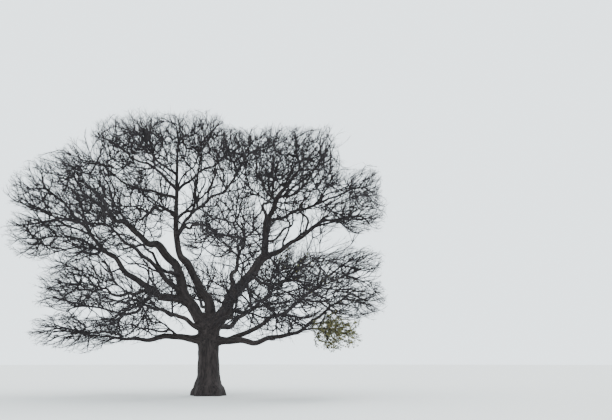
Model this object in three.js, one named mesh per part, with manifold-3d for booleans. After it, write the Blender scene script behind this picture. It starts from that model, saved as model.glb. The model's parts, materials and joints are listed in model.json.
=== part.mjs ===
// An old hackberry tree in winter: a short thick trunk, three rising leaders, level lower boughs
// and a wide bare crown of fine twigs. A few olive leaves linger on its lowest right-hand twigs.
//
// Millimetres, +Z up. The origin is at the middle of the flat cut under the trunk, at ground level,
// +X runs to the right of the photograph and +Y away from the viewer.

import * as THREE from 'three';
import { mergeVertices } from 'three/addons/utils/BufferGeometryUtils.js';
import Module from 'manifold-3d';

const wasm = await Module();
wasm.setup();

// Driving dimensions: the trunk

const TRUNK_HEIGHT = 3750;          // ground to the crown of the fork
const TRUNK_LEAN = -50;             // how far the fork stands left of the foot
const TRUNK_RADIUS = 505;           // above the root flare
const TRUNK_SWELL = 35;             // the trunk widens a little again under the fork
const TRUNK_SIDES = 20;
const FORK_SHOULDER = 3050;         // where the trunk starts to round over into the fork
const FORK_RADIUS = 190;            // of the rounded top between the leaders
const FLARE = 300;                  // mean reach of the roots beyond the trunk, at the ground
const FLARE_HEIGHT = 600;
const ROOT_RIDGES = 5;              // buttress ridges round the foot
const RIDGE_DEPTH = 95;             // of a ridge, at the ground
const RIDGE_FACING = 0.35;          // radians from +X to the first ridge
const OVAL = 0.4;                   // how oval the foot is, as a share of a ridge
const OVAL_FACING = 0.5;            // radians from -X to the oval's long side
const TRUNK_LEVELS = [0, 130, 280, 460, 680, 950, 1700, 2450, FORK_SHOULDER, 3420, 3650, TRUNK_HEIGHT];

// Driving dimensions: every bough

const SEAT_GAP = 0.3;               // between two pieces that touch
const MERGE = 0.001;                // vertices nearer than this are one
const STEEP = 0.9;                  // rise above which a section is set out from +X in place of +Z
const RING_SPACING = 950;           // along a bough
const THICK_BOUGH = 180;            // a bough with a larger foot radius has more sides
const THICK_SIDES = 8;
const THIN_SIDES = 6;
const RING_CROWDING = 1.25;         // above 1 the rings crowd towards the foot
const COLLAR = 0.42;                // extra radius at a bough's foot, as a share of its own
const COLLAR_LIMIT = 0.8;           // a bough's foot is at most this share of its parent's radius
const COLLAR_LENGTH = 1.3;          // in foot radii
const WANDER = 0.011;               // sideways wander, as a share of the bough's length
const WANDER_LENGTH = 2000;         // of one slow bend
const QUICK_BENDS = 1.7;            // quick bends to each slow one
const QUICK_SHARE = 0.5;            // their size, as a share of a slow bend's
const SWING_PACE = 0.85;            // sideways bends to each up and down
const WANDER_FADE = 0.25;           // share of the length in which the wander dies away at each end

// Driving dimensions: every mass of twigs

const TARGET_CELL = 1080;           // one twig tip in each cell of this size
const STEM_LENGTH = 250;            // before a mass's first fork
const TWIG_SHARE = 0.42;            // how much of the way to its targets a twig goes before it forks
const TWIG_SHORTEST = 160;
const TWIG_LONGEST = 900;
const TWIG_TURN = 0.45;             // how much of its old heading a twig keeps
const DIVIDE_SWING = 0.22;          // how unevenly a fork divides its targets
const THINNEST = 8;                 // twig radius at its tips
const TWIG_SIDES = 3;
const TWIG_ROLL = 1;                // radians that each twig's section is turned from the last one's
const PIPE_POWER = 0.47;            // how a twig's radius follows the tips that it carries
const SPACE_MARGIN = 0.045;         // between two masses, as a share of their reach
const TEST_SPACING = 120;           // between the places where a twig is tested
const LIMB_CLEARANCE = 90;          // between a twig and any bough
const ROOT_OFFSET = 0.28;           // how far past a fork a side twig leaves, in stretches of its parent
const ROOT_RADIUS = 0.5;            // of a side twig where it leaves, as a share of its parent's
const ROOT_TAPER = 1.3;             // and at most this much more than at its next joint

// Driving dimensions: the lingering leaves

const LEAVES = 36;
const LEAF_TRIES = 1500;
const LEAF_FIRST = 0.2;             // leaves sit from this share of a stretch of twig
const LEAF_LAST = 0.92;             // to this one
const LEAF_SPACING = 170;           // no leaf starts nearer than this to another
const LEAF_LENGTH = 300;            // one leaf stands for a small spray
const LEAF_WIDTH = 170;
const LEAF_THICKNESS = 14;
const LEAF_ROOT = 26;               // how far it is sunk into its twig
const LEAF_TURN = [ 0.7, 1.2 ];     // least and most radians that it turns away from its twig
const LEAF_DROOP = 0.5;             // most radians that it hangs below the level
const LEAF_TILT = 0.3;              // most radians that it tilts to either side

// Every bough and the mass of twigs at its tip.
//   from, along     the limb that it leaves, and how far up that limb
//   leave, arrive   how steeply it rises at its foot and at its tip, in degrees
//   by              places that it passes
//   foot, end       its radius where it leaves and at its tip
//   centre, reach   the middle of its mass's space, and how far the space reaches along X, Y and Z
//   cell            the size of its twigs' cells, where they are closer than on the other masses
//   joined          true where the bough is one piece with its twigs

const BOUGHS = [
	{
		name: 'leader_left', from: 'trunk', along: 0.79, leave: 62, arrive: 38,
		by: [ [ - 1200, 0, 4750 ], [ - 1950, 200, 6600 ], [ - 3600, 600, 7850 ] ],
		tip: [ - 6850, 1200, 10250 ],
		foot: 320, end: 60, centre: [ - 7250, 1200, 11250 ], reach: [ 1750, 2200, 1650 ],
	},
	{
		name: 'leader_centre', from: 'trunk', along: 0.84, leave: 88, arrive: 84,
		by: [ [ - 50, 100, 4350 ], [ - 950, 200, 5950 ], [ - 1750, 100, 7450 ], [ - 1850, 0, 9850 ] ],
		tip: [ - 1850, - 200, 11900 ],
		foot: 270, end: 60, centre: [ - 1700, - 600, 13150 ], reach: [ 1650, 2100, 1600 ],
	},
	{
		name: 'leader_right', from: 'trunk', along: 0.83, leave: 40, arrive: 48,
		by: [ [ 1500, - 200, 5350 ], [ 2600, - 200, 6700 ], [ 2800, 0, 8700 ] ], tip: [ 4250, 800, 11300 ],
		foot: 340, end: 60, centre: [ 4350, 1200, 12500 ], reach: [ 1800, 2200, 1650 ],
	},
	{
		name: 'low_right', from: 'trunk', along: 0.71, leave: 0, arrive: 44,
		by: [ [ 2200, - 500, 2600 ], [ 4300, - 900, 3050 ] ], tip: [ 5850, - 1250, 4150 ],
		foot: 190, end: 50, centre: [ 7000, - 1300, 4600 ], reach: [ 1600, 2400, 1300 ],
	},
	{
		name: 'low_left', from: 'trunk', along: 0.72, leave: 4, arrive: 4,
		by: [ [ - 2100, - 500, 2800 ], [ - 3500, - 900, 2650 ] ], tip: [ - 4700, - 1250, 2800 ],
		foot: 200, end: 50, centre: [ - 6150, - 1600, 3050 ], reach: [ 2150, 2200, 1050 ],
	},
	{
		name: 'front_left', from: 'trunk', along: 0.81, leave: 10, arrive: 10,
		by: [ [ - 1100, - 1200, 3650 ] ], tip: [ - 2200, - 4700, 4050 ],
		foot: 140, end: 50, centre: [ - 2400, - 6500, 4050 ], reach: [ 1900, 2200, 1300 ],
	},
	{
		name: 'front_right', from: 'trunk', along: 0.78, leave: 34, arrive: 8,
		by: [ [ 900, - 1200, 3700 ] ], tip: [ 2950, - 5000, 4050 ],
		foot: 140, end: 50, centre: [ 3600, - 6600, 4200 ], reach: [ 1900, 2150, 1300 ],
	},
	{
		name: 'back_right', from: 'trunk', along: 0.84, leave: 30, arrive: 30,
		by: [ [ 800, 1400, 3450 ] ], tip: [ 3100, 5200, 5700 ],
		foot: 160, end: 50, centre: [ 3900, 6300, 6300 ], reach: [ 2000, 2100, 1450 ],
	},
	{
		name: 'rising_right', from: 'low_right', along: 0.14, leave: 20, arrive: 34,
		by: [ [ 2400, 0, 3350 ], [ 4450, 400, 4600 ] ], tip: [ 6250, 750, 6150 ],
		foot: 130, end: 50, centre: [ 7150, 900, 6600 ], reach: [ 1550, 2200, 900 ],
	},
	{
		name: 'drooping_right', from: 'low_right', along: 0.66, leave: - 2, arrive: - 6,
		by: [ [ 4750, - 1350, 3150 ] ], tip: [ 5300, - 1800, 3150 ],
		foot: 60, end: 40, centre: [ 6150, - 2500, 3000 ], reach: [ 1350, 1450, 850 ], cell: 760,
	},
	{
		name: 'mid_left', from: 'leader_left', along: 0.2, leave: 6, arrive: 50,
		by: [ [ - 2850, - 300, 5050 ], [ - 4800, - 500, 6650 ] ], tip: [ - 7300, - 600, 9350 ],
		foot: 200, end: 55, centre: [ - 8350, - 800, 10150 ], reach: [ 1500, 2200, 1450 ],
	},
	{
		name: 'level_left', from: 'mid_left', along: 0.23, leave: - 6, arrive: 6,
		by: [ [ - 4950, 1400, 5000 ] ], tip: [ - 6500, 3200, 5600 ],
		foot: 105, end: 45, centre: [ - 7700, 4200, 5800 ], reach: [ 2100, 2400, 1250 ],
	},
	{
		name: 'hanging_left', from: 'mid_left', along: 0.22, leave: - 50, arrive: 4,
		by: [ [ - 3450, - 2400, 3800 ] ], tip: [ - 4300, - 3750, 3950 ],
		foot: 95, end: 45, centre: [ - 4950, - 4900, 4100 ], reach: [ 1900, 2000, 1000 ],
	},
	{
		name: 'far_left', from: 'mid_left', along: 0.6, leave: 18, arrive: 6,
		by: [ [ - 6700, 200, 7700 ] ], tip: [ - 8050, 700, 7950 ],
		foot: 75, end: 45, centre: [ - 9450, 800, 7900 ], reach: [ 1550, 2400, 1150 ],
	},
	{
		name: 'upper_left', from: 'leader_left', along: 0.24, leave: 16, arrive: 34,
		by: [ [ - 2700, - 1800, 6350 ] ], tip: [ - 3800, - 4200, 7350 ],
		foot: 150, end: 50, centre: [ - 4300, - 5500, 7800 ], reach: [ 1900, 2100, 1450 ],
	},
	{
		name: 'inner_left', from: 'leader_centre', along: 0.67, leave: 30, arrive: 24,
		by: [ [ - 2900, 1800, 9600 ] ], tip: [ - 4400, 4100, 10000 ],
		foot: 85, end: 45, centre: [ - 5300, 5200, 10500 ], reach: [ 2050, 2300, 1550 ],
	},
	{
		name: 'high_left', from: 'leader_centre', along: 0.76, leave: 24, arrive: 44,
		by: [ [ - 3350, - 1200, 10000 ] ], tip: [ - 4500, - 2300, 10500 ],
		foot: 85, end: 45, centre: [ - 5100, - 2800, 11100 ], reach: [ 1600, 2200, 1300 ],
	},
	{
		name: 'top_left', from: 'leader_centre', along: 0.81, leave: 52, arrive: 30,
		by: [ [ - 3250, 500, 11600 ] ], tip: [ - 4300, 800, 12100 ],
		foot: 85, end: 45, centre: [ - 4900, 1000, 13000 ], reach: [ 1650, 2200, 1350 ],
	},
	{
		name: 'top_front', from: 'leader_centre', along: 0.9, leave: 30, arrive: 40,
		by: [ [ - 2250, - 1500, 11100 ] ], tip: [ - 2600, - 2700, 11450 ],
		foot: 70, end: 45, centre: [ - 2850, - 3400, 12200 ], reach: [ 1450, 2100, 1200 ],
	},
	{
		name: 'top_right', from: 'leader_centre', along: 0.8, leave: 44, arrive: 40,
		by: [ [ - 950, 1300, 11450 ] ], tip: [ - 50, 2700, 12450 ],
		foot: 80, end: 45, centre: [ 500, 3200, 13200 ], reach: [ 1450, 2100, 1250 ],
	},
	{
		name: 'long_right', from: 'leader_centre', along: 0.65, leave: 34, arrive: 56,
		by: [ [ - 50, - 1600, 9300 ] ], tip: [ 1500, - 3000, 10400 ],
		foot: 80, end: 45, centre: [ 2050, - 3400, 11400 ], reach: [ 1550, 2100, 1400 ],
	},
	{
		name: 'back_top', from: 'leader_centre', along: 0.55, leave: 50, arrive: 74,
		by: [ [ - 1200, 1500, 9750 ] ], tip: [ - 850, 1500, 12500 ],
		foot: 95, end: 45, centre: [ - 500, 1700, 13500 ], reach: [ 1450, 2100, 1400 ],
	},
	{
		name: 'small_front', from: 'leader_centre', along: 0.53, leave: 50, arrive: - 6,
		by: [ [ - 500, - 2200, 8000 ] ], tip: [ 750, - 5200, 7150 ],
		foot: 75, end: 40, centre: [ 1250, - 6500, 6800 ], reach: [ 1850, 2000, 1250 ],
	},
	{
		name: 'back_centre', from: 'leader_right', along: 0.17, leave: 60, arrive: 50,
		by: [ [ 1050, 1500, 6300 ], [ 1150, 3300, 8000 ] ], tip: [ 800, 5000, 9000 ],
		foot: 140, end: 50, centre: [ 200, 6200, 9900 ], reach: [ 2100, 2100, 1600 ],
	},
	{
		name: 'outer_right', from: 'leader_right', along: 0.43, leave: 34, arrive: 14,
		by: [ [ 4450, - 200, 7700 ], [ 5400, - 600, 8400 ] ], tip: [ 6350, - 1000, 8550 ],
		foot: 160, end: 50, centre: [ 7450, - 1200, 8800 ], reach: [ 1600, 2200, 1000 ],
	},
	{
		name: 'centre_right', from: 'leader_right', along: 0.66, leave: 80, arrive: 50,
		by: [ [ 2550, 1400, 9700 ] ], tip: [ 2900, 3500, 10800 ],
		foot: 90, end: 45, centre: [ 3300, 4400, 11700 ], reach: [ 1750, 2200, 1500 ],
	},
	{
		name: 'reaching_right', from: 'leader_right', along: 0.64, leave: 40, arrive: 22,
		by: [ [ 3950, 900, 9150 ] ], tip: [ 6500, 1650, 10300 ],
		foot: 100, end: 45, centre: [ 7500, 1900, 10750 ], reach: [ 1700, 2200, 1150 ],
	},
	{
		name: 'high_right', from: 'leader_right', along: 0.8, leave: 30, arrive: 60,
		by: [ [ 4250, - 500, 9950 ] ], tip: [ 5000, - 1100, 10800 ],
		foot: 75, end: 45, centre: [ 5700, - 1400, 11750 ], reach: [ 1600, 2200, 1450 ],
	},
	{
		name: 'under_right', from: 'leader_right', along: 0.34, leave: 10, arrive: 12,
		by: [ [ 2900, - 2400, 5150 ] ], tip: [ 3950, - 4800, 5200 ],
		foot: 100, end: 45, centre: [ 4650, - 5900, 5500 ], reach: [ 1700, 2000, 1150 ],
	},
	{
		name: 'low_back', from: 'trunk', along: 0.88, leave: 40, arrive: 34, joined: true,
		by: [ [ - 500, 1900, 4300 ] ], tip: [ - 1350, 4500, 5400 ],
		foot: 150, end: 50, centre: [ - 1800, 5800, 6100 ], reach: [ 2100, 2100, 1350 ],
	},
];

const LEAFY = 'drooping_right';

// Seeds: each bough's wander and each mass's twigs have their own

const BOUGH_SEED = 40;
const BOUGH_SEED_STEP = 7;
const MASS_SEED = 1040;
const MASS_SEED_STEP = 13;

// Materials: dark grey-brown bark, slightly paler twigs, olive on the leafy twigs

const BARK = { color: 0x4b4643, roughness: 0.95, metalness: 0 };
const TWIGS = { color: 0x57504b, roughness: 0.9, metalness: 0 };
const LEAFY_TWIGS = { color: 0x6b6a3c, roughness: 0.8, metalness: 0 };

// Even numbers from 0 to 1 in an order that a seed fixes

function seededRandom( seed ) {

	let state = seed >>> 0;
	return function () {

		state = ( state + 0x6D2B79F5 ) >>> 0;
		let mixed = Math.imul( state ^ ( state >>> 15 ), state | 1 );
		mixed ^= mixed + Math.imul( mixed ^ ( mixed >>> 7 ), mixed | 61 );
		return ( ( mixed ^ ( mixed >>> 14 ) ) >>> 0 ) / 4294967296;

	};

}

// The unit vector at a heading round +Z and a rise above the level, in radians

function direction( heading, rise ) {

	const level = Math.cos( rise );
	return new THREE.Vector3( level * Math.cos( heading ), level * Math.sin( heading ), Math.sin( rise ) );

}

function headingBetween( from, to ) {

	return Math.atan2( to.y - from.y, to.x - from.x );

}

// The line down the middle of a bough: smooth through its stops, with a slow seeded wander

class BoughCurve extends THREE.Curve {

	constructor( stops, leave, arrive, seed ) {

		super();
		const last = stops.length - 1;
		this.stops = stops;
		this.runs = stops.slice( 1 ).map( ( stop, i ) => stop.distanceTo( stops[ i ] ) );
		this.total = this.runs.reduce( ( sum, run ) => sum + run, 0 );
		this.slopes = stops.map( ( stop, i ) => {

			const before = stops[ Math.max( i - 1, 0 ) ];
			const after = stops[ Math.min( i + 1, last ) ];
			if ( i > 0 && i < last ) return after.clone().sub( before ).normalize();
			const rise = i ? arrive : leave;
			return direction( headingBetween( before, after ), THREE.MathUtils.degToRad( rise ) );

		} );
		const random = seededRandom( seed );
		this.phases = [ 0, 1, 2, 3 ].map( () => random() * 2 * Math.PI );
		this.side = direction( headingBetween( stops[ 0 ], stops[ last ] ) + Math.PI / 2, 0 );

	}

	bend( turned, phase ) {

		const quick = Math.sin( turned * QUICK_BENDS + this.phases[ phase + 1 ] );
		return Math.sin( turned + this.phases[ phase ] ) + QUICK_SHARE * quick;

	}

	getPoint( t, target = new THREE.Vector3() ) {

		const travelled = t * this.total;
		let run = 0;
		let before = 0;
		while ( run < this.runs.length - 1 && travelled > before + this.runs[ run ] ) {

			before += this.runs[ run ];
			run += 1;

		}

		const length = this.runs[ run ];
		const u = Math.min( 1, ( travelled - before ) / length );
		target.set( 0, 0, 0 );
		target.addScaledVector( this.stops[ run ], 2 * u ** 3 - 3 * u ** 2 + 1 );
		target.addScaledVector( this.slopes[ run ], length * ( u ** 3 - 2 * u ** 2 + u ) );
		target.addScaledVector( this.stops[ run + 1 ], 3 * u ** 2 - 2 * u ** 3 );
		target.addScaledVector( this.slopes[ run + 1 ], length * ( u ** 3 - u ** 2 ) );

		// The wander dies away at both ends, so that the foot and the tip stay in place
		const rise = Math.min( 1, t / WANDER_FADE );
		const fall = Math.min( 1, ( 1 - t ) / WANDER_FADE );
		const size = WANDER * this.total * rise * fall;
		const slow = travelled * 2 * Math.PI / WANDER_LENGTH;
		target.z += size * this.bend( slow, 0 );
		return target.addScaledVector( this.side, size * this.bend( slow * SWING_PACE, 2 ) );

	}

}

// Closed solids

function toSolid( geometry ) {

	geometry.deleteAttribute( 'normal' );
	geometry.deleteAttribute( 'uv' );
	const merged = mergeVertices( geometry, MERGE );
	return new wasm.Manifold( new wasm.Mesh( {
		numProp: 3,
		vertProperties: Float32Array.from( merged.attributes.position.array ),
		triVerts: Uint32Array.from( merged.index.array ),
	} ) );

}

function largestPiece( solid ) {

	return solid.decompose().sort( ( a, b ) => b.volume() - a.volume() )[ 0 ];

}

// Frames along a line of points: at each point its heading and two directions across it

function framesAlong( points ) {

	const last = points.length - 1;
	let across = null;
	return points.map( ( point, i ) => {

		const before = points[ Math.max( i - 1, 0 ) ];
		const ahead = points[ Math.min( i + 1, last ) ].clone().sub( before ).normalize();
		const steep = Math.abs( ahead.z ) > STEEP;
		const hint = across || new THREE.Vector3( steep ? 1 : 0, 0, steep ? 0 : 1 );
		across = hint.clone().addScaledVector( ahead, - hint.dot( ahead ) ).normalize();
		return { point, ahead, across, beside: ahead.clone().cross( across ) };

	} );

}

// The vertices of an upright cylinder: whether one is on the axis, and its angle round the axis,
// which is the same number for every copy of a vertex on the seam

function onAxis( position, i ) {

	return Math.hypot( position.getX( i ), position.getZ( i ) ) < MERGE;

}

function angleOf( position, i, sides ) {

	const quarter = Math.PI / 2;
	const turned = Math.atan2( - position.getZ( i ), position.getX( i ) ) + quarter;
	const column = Math.round( turned * sides / ( 2 * Math.PI ) );
	return ( column + sides ) % sides / sides * 2 * Math.PI - quarter;

}

// A round or three-sided tube along a line of points: a cylinder whose rings are moved onto the line.
// A pointed tube closes to a single point at its end, and roll turns its section.

function tube( points, radii, sides, pointed, roll ) {

	const steps = points.length - 1;
	const geometry = new THREE.CylinderGeometry( pointed ? 0 : 1, 1, 1, sides, steps );
	const position = geometry.attributes.position;
	const frames = framesAlong( points );
	const place = new THREE.Vector3();

	for ( let i = 0; i < position.count; i ++ ) {

		const ring = Math.round( ( position.getY( i ) + 0.5 ) * steps );
		const around = angleOf( position, i, sides ) + roll;
		const radius = onAxis( position, i ) ? 0 : radii[ ring ];
		const { point, across, beside } = frames[ ring ];
		place.copy( point );
		place.addScaledVector( beside, radius * Math.cos( around ) );
		place.addScaledVector( across, - radius * Math.sin( around ) );
		position.setXYZ( i, place.x, place.y, place.z );

	}

	return toSolid( geometry );

}

// The trunk: level rings with buttress ridges at the foot and a rounded fork

function trunkCentre( height ) {

	return new THREE.Vector3( TRUNK_LEAN * height / TRUNK_HEIGHT, 0, height );

}

function trunkRadius( height, around ) {

	const flare = Math.exp( - ( ( height / FLARE_HEIGHT ) ** 2 ) );
	const oval = OVAL * Math.cos( 2 * ( around + OVAL_FACING ) );
	const ridge = Math.cos( ROOT_RIDGES * ( around - RIDGE_FACING ) ) + oval;
	const rising = Math.min( 1, height / FORK_SHOULDER );
	const rounding = Math.max( 0, ( height - FORK_SHOULDER ) / ( TRUNK_HEIGHT - FORK_SHOULDER ) );
	const full = TRUNK_RADIUS + TRUNK_SWELL * rising ** 4 + flare * ( FLARE + RIDGE_DEPTH * ridge );
	return FORK_RADIUS + ( full - FORK_RADIUS ) * Math.sqrt( 1 - rounding ** 2 );

}

function trunkSolid( spare ) {

	const steps = TRUNK_LEVELS.length - 1;
	const geometry = new THREE.CylinderGeometry( 1, 1, 1, TRUNK_SIDES, steps );
	const position = geometry.attributes.position;

	for ( let i = 0; i < position.count; i ++ ) {

		const level = Math.round( ( position.getY( i ) + 0.5 ) * steps );
		const height = TRUNK_LEVELS[ level ];
		const around = angleOf( position, i, TRUNK_SIDES );
		const radius = onAxis( position, i ) ? 0 : trunkRadius( height, around ) + spare;
		const centre = trunkCentre( height );
		const z = level === steps ? height + spare : height;
		const x = centre.x + radius * Math.cos( around );
		const y = centre.y + radius * Math.sin( around );
		position.setXYZ( i, x, y, z );

	}

	return toSolid( geometry );

}

// The boughs

function boughRadius( bough, travelled ) {

	const taper = bough.foot + ( bough.end - bough.foot ) * travelled / bough.curve.total;
	const outside = Math.max( 0, travelled - bough.sunk );
	return taper * ( 1 + bough.collar * Math.exp( - outside / ( COLLAR_LENGTH * bough.foot ) ) );

}

function boughSolid( bough, spare ) {

	const frames = framesAlong( bough.points );
	const points = frames.map( ( frame ) => frame.point.clone() );
	points[ 0 ].addScaledVector( frames[ 0 ].ahead, - spare );
	points.at( - 1 ).addScaledVector( frames.at( - 1 ).ahead, spare );
	const radii = bough.rings.map( ( t ) => boughRadius( bough, t * bough.curve.total ) + spare );
	return tube( points, radii, bough.foot > THICK_BOUGH ? THICK_SIDES : THIN_SIDES, false, 0 );

}

// Lays out a bough's line from its parent, which is laid out before it

function layOut( row, index, limbs ) {

	const parent = limbs.get( row.from );
	const stops = [ ...row.by, row.tip ].map( ( place ) => new THREE.Vector3( ...place ) );
	stops.unshift( parent.pointAt( row.along ) );
	const curve = new BoughCurve( stops, row.leave, row.arrive, BOUGH_SEED + BOUGH_SEED_STEP * index );
	const sunk = parent.radiusAt( row.along );
	const collar = Math.min( COLLAR, COLLAR_LIMIT * sunk / row.foot - 1 );
	const bough = { ...row, curve, sunk, collar };
	const count = Math.max( 3, Math.round( curve.total / RING_SPACING ) );
	bough.rings = Array.from( { length: count + 1 }, ( _, i ) => ( i / count ) ** RING_CROWDING );
	bough.points = bough.rings.map( ( t ) => curve.getPoint( t ) );
	bough.pointAt = ( t ) => curve.getPoint( t );
	bough.radiusAt = ( t ) => boughRadius( bough, t * curve.total );
	return bough;

}

// The space of a mass: 0 at its middle, 1 at its edge

function depthIn( row, place ) {

	const [ x, y, z ] = row.centre;
	const [ reachX, reachY, reachZ ] = row.reach;
	return Math.hypot( ( place.x - x ) / reachX, ( place.y - y ) / reachY, ( place.z - z ) / reachZ );

}

function inOwnSpace( row, place ) {

	const depth = depthIn( row, place );
	if ( depth >= 1 ) return false;
	const others = BOUGHS.filter( ( other ) => other.name !== row.name );
	return others.every( ( other ) => depthIn( other, place ) > depth + SPACE_MARGIN );

}

const nearest = new THREE.Vector3();

function clearOfLimbs( limbs, place ) {

	for ( const limb of limbs.values() ) {

		for ( const { line, radius } of limb.segments ) {

			line.closestPointToPoint( place, true, nearest );
			if ( nearest.distanceTo( place ) < radius + LIMB_CLEARANCE ) return false;

		}

	}

	return true;

}

// Places that the twigs of a mass reach: one in each cell of a grid over its space, at random in
// its cell, less those outside the space or against a limb

function scatterTargets( row, limbs, random ) {

	const cell = row.cell || TARGET_CELL;
	const [ countX, countY, countZ ] = row.reach.map( ( reach ) => Math.round( 2 * reach / cell ) );
	const targets = [];
	for ( let i = 0; i < countX * countY * countZ; i ++ ) {

		const column = i % countX;
		const slice = Math.floor( i / countX ) % countY;
		const layer = Math.floor( i / ( countX * countY ) );
		const target = new THREE.Vector3(
			row.centre[ 0 ] + row.reach[ 0 ] * ( 2 * ( column + random() ) / countX - 1 ),
			row.centre[ 1 ] + row.reach[ 1 ] * ( 2 * ( slice + random() ) / countY - 1 ),
			row.centre[ 2 ] + row.reach[ 2 ] * ( 2 * ( layer + random() ) / countZ - 1 ),
		);
		if ( inOwnSpace( row, target ) && clearOfLimbs( limbs, target ) ) targets.push( target );

	}

	return targets;

}

// The two ends of the longest way across a group of targets, near enough

function widestAxis( targets, middle ) {

	const farFrom = ( place ) => targets.reduce( ( far, target ) => (
		target.distanceToSquared( place ) > far.distanceToSquared( place ) ? target : far
	) );
	const end = farFrom( middle );
	return farFrom( end ).clone().sub( end ).normalize();

}

// Grows the twigs of one mass. A twig heads for the middle of the targets that it serves, stops
// part of the way there and divides them between two twigs, until each twig has a single target.
// A twig that would leave the space or touch a limb is skipped.

function growTwigs( row, limbs, start, heading, random ) {

	const stem = start.clone().addScaledVector( heading, STEM_LENGTH );
	const nodes = [
		{ place: start, parent: - 1, ahead: heading, children: [ 1 ] },
		{ place: stem, parent: 0, ahead: heading, children: [] },
	];

	function grow( index, ahead, length ) {

		const from = nodes[ index ].place;
		const place = from.clone().addScaledVector( ahead, length );
		const tests = Math.ceil( length / TEST_SPACING );
		for ( let i = 1; i <= tests; i ++ ) {

			const point = from.clone().lerp( place, i / tests );
			if ( ! inOwnSpace( row, point ) || ! clearOfLimbs( limbs, point ) ) return - 1;

		}

		nodes[ index ].children.push( nodes.length );
		nodes.push( { place, parent: index, ahead, children: [] } );
		return nodes.length - 1;

	}

	function serve( index, targets ) {

		const node = nodes[ index ];
		const middle = new THREE.Vector3();
		for ( const target of targets ) middle.addScaledVector( target, 1 / targets.length );
		const off = middle.distanceTo( node.place );
		const straight = middle.clone().sub( node.place ).normalize();
		if ( targets.length === 1 ) {

			grow( index, straight, off );
			return;

		}

		const ahead = straight.clone().addScaledVector( node.ahead, TWIG_TURN ).normalize();
		const length = THREE.MathUtils.clamp( off * TWIG_SHARE, TWIG_SHORTEST, TWIG_LONGEST );
		let next = grow( index, ahead, length );
		if ( next < 0 ) next = grow( index, straight, length );
		if ( next < 0 ) next = index;
		const axis = widestAxis( targets, middle );
		const ordered = [ ...targets ].sort( ( a, b ) => a.dot( axis ) - b.dot( axis ) );
		const share = 0.5 + DIVIDE_SWING * ( 2 * random() - 1 );
		const cut = THREE.MathUtils.clamp( Math.round( share * ordered.length ), 1, ordered.length - 1 );
		serve( next, ordered.slice( 0, cut ) );
		serve( next, ordered.slice( cut ) );

	}

	serve( 1, scatterTargets( row, limbs, random ) );
	return nodes;

}

// Radii follow the number of tips that a twig carries

function tipsCarried( nodes ) {

	const tips = nodes.map( ( node ) => node.children.length === 0 ? 1 : 0 );
	for ( let i = nodes.length - 1; i > 0; i -- ) tips[ nodes[ i ].parent ] += tips[ i ];
	return tips;

}

// Splits the skeleton into runs: at each fork the child with most tips carries on, and each other
// child starts a run of its own from the middle of its parent

function twigRuns( nodes, tips ) {

	const runs = [];
	const starts = [ [ 0 ] ];
	while ( starts.length > 0 ) {

		const run = starts.pop();
		let index = run[ run.length - 1 ];
		while ( nodes[ index ].children.length > 0 ) {

			nodes[ index ].children.sort( ( a, b ) => tips[ b ] - tips[ a ] || a - b );
			const [ next, ...others ] = nodes[ index ].children;
			for ( const other of others ) starts.push( [ index, other ] );
			run.push( next );
			index = next;

		}

		runs.push( run );

	}

	return runs;

}

// One leaf: a flat diamond of eight faces, its root sunk into the twig

function leafSolid( root, ahead, across ) {

	const up = ahead.clone().cross( across );
	const geometry = new THREE.OctahedronGeometry( 1 );
	const frame = new THREE.Matrix4().makeBasis(
		ahead.clone().multiplyScalar( LEAF_LENGTH / 2 ),
		across.clone().multiplyScalar( LEAF_WIDTH / 2 ),
		up.multiplyScalar( LEAF_THICKNESS / 2 ),
	);
	frame.setPosition( root.clone().addScaledVector( ahead, LEAF_LENGTH / 2 - LEAF_ROOT ) );
	geometry.applyMatrix4( frame );
	return toSolid( geometry );

}

// The places and radii along a run. A side run leaves its parent a little past the fork, and
// thinner, and a second one from the same fork leaves further on.

function twigLine( run, nodes, radiusOf ) {

	const places = run.map( ( i ) => nodes[ i ].place );
	const radii = run.map( radiusOf );
	if ( run[ 0 ] > 0 ) {

		const parent = nodes[ run[ 0 ] ];
		const rank = parent.children.indexOf( run[ 1 ] );
		places[ 0 ] = places[ 0 ].clone().lerp( nodes[ parent.children[ 0 ] ].place, ROOT_OFFSET * rank );
		radii[ 0 ] = Math.min( radii[ 0 ] * ROOT_RADIUS, radii[ 1 ] * ROOT_TAPER );

	}

	return { places, radii };

}

// Leaves set alternately left and right on the stretches of the side twigs

function lingeringLeaves( row, limbs, lines, random ) {

	const stretches = [];
	for ( const { places } of lines ) {

		for ( let i = 1; i < places.length; i ++ ) stretches.push( [ places[ i - 1 ], places[ i ] ] );

	}

	const leaves = [];
	const roots = [];
	for ( let tries = 0; leaves.length < LEAVES && tries < LEAF_TRIES; tries ++ ) {

		const [ from, to ] = stretches[ tries % stretches.length ];
		const root = from.clone().lerp( to, LEAF_FIRST + ( LEAF_LAST - LEAF_FIRST ) * random() );
		const twig = to.clone().sub( from );
		const side = tries % 2 ? 1 : - 1;
		const heading = Math.atan2( twig.y, twig.x ) + side * THREE.MathUtils.lerp( ...LEAF_TURN, random() );
		const ahead = direction( heading, - LEAF_DROOP * ( 1 - random() ) );
		const across = direction( heading + Math.PI / 2, LEAF_TILT * ( 2 * random() - 1 ) );
		across.addScaledVector( ahead, - across.dot( ahead ) ).normalize();
		const end = root.clone().addScaledVector( ahead, LEAF_LENGTH );
		const crowded = roots.some( ( other ) => other.distanceTo( root ) < LEAF_SPACING );
		if ( crowded || ! inOwnSpace( row, end ) || ! clearOfLimbs( limbs, end ) ) continue;
		roots.push( root );
		leaves.push( leafSolid( root, ahead, across ) );

	}

	return leaves;

}

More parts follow.
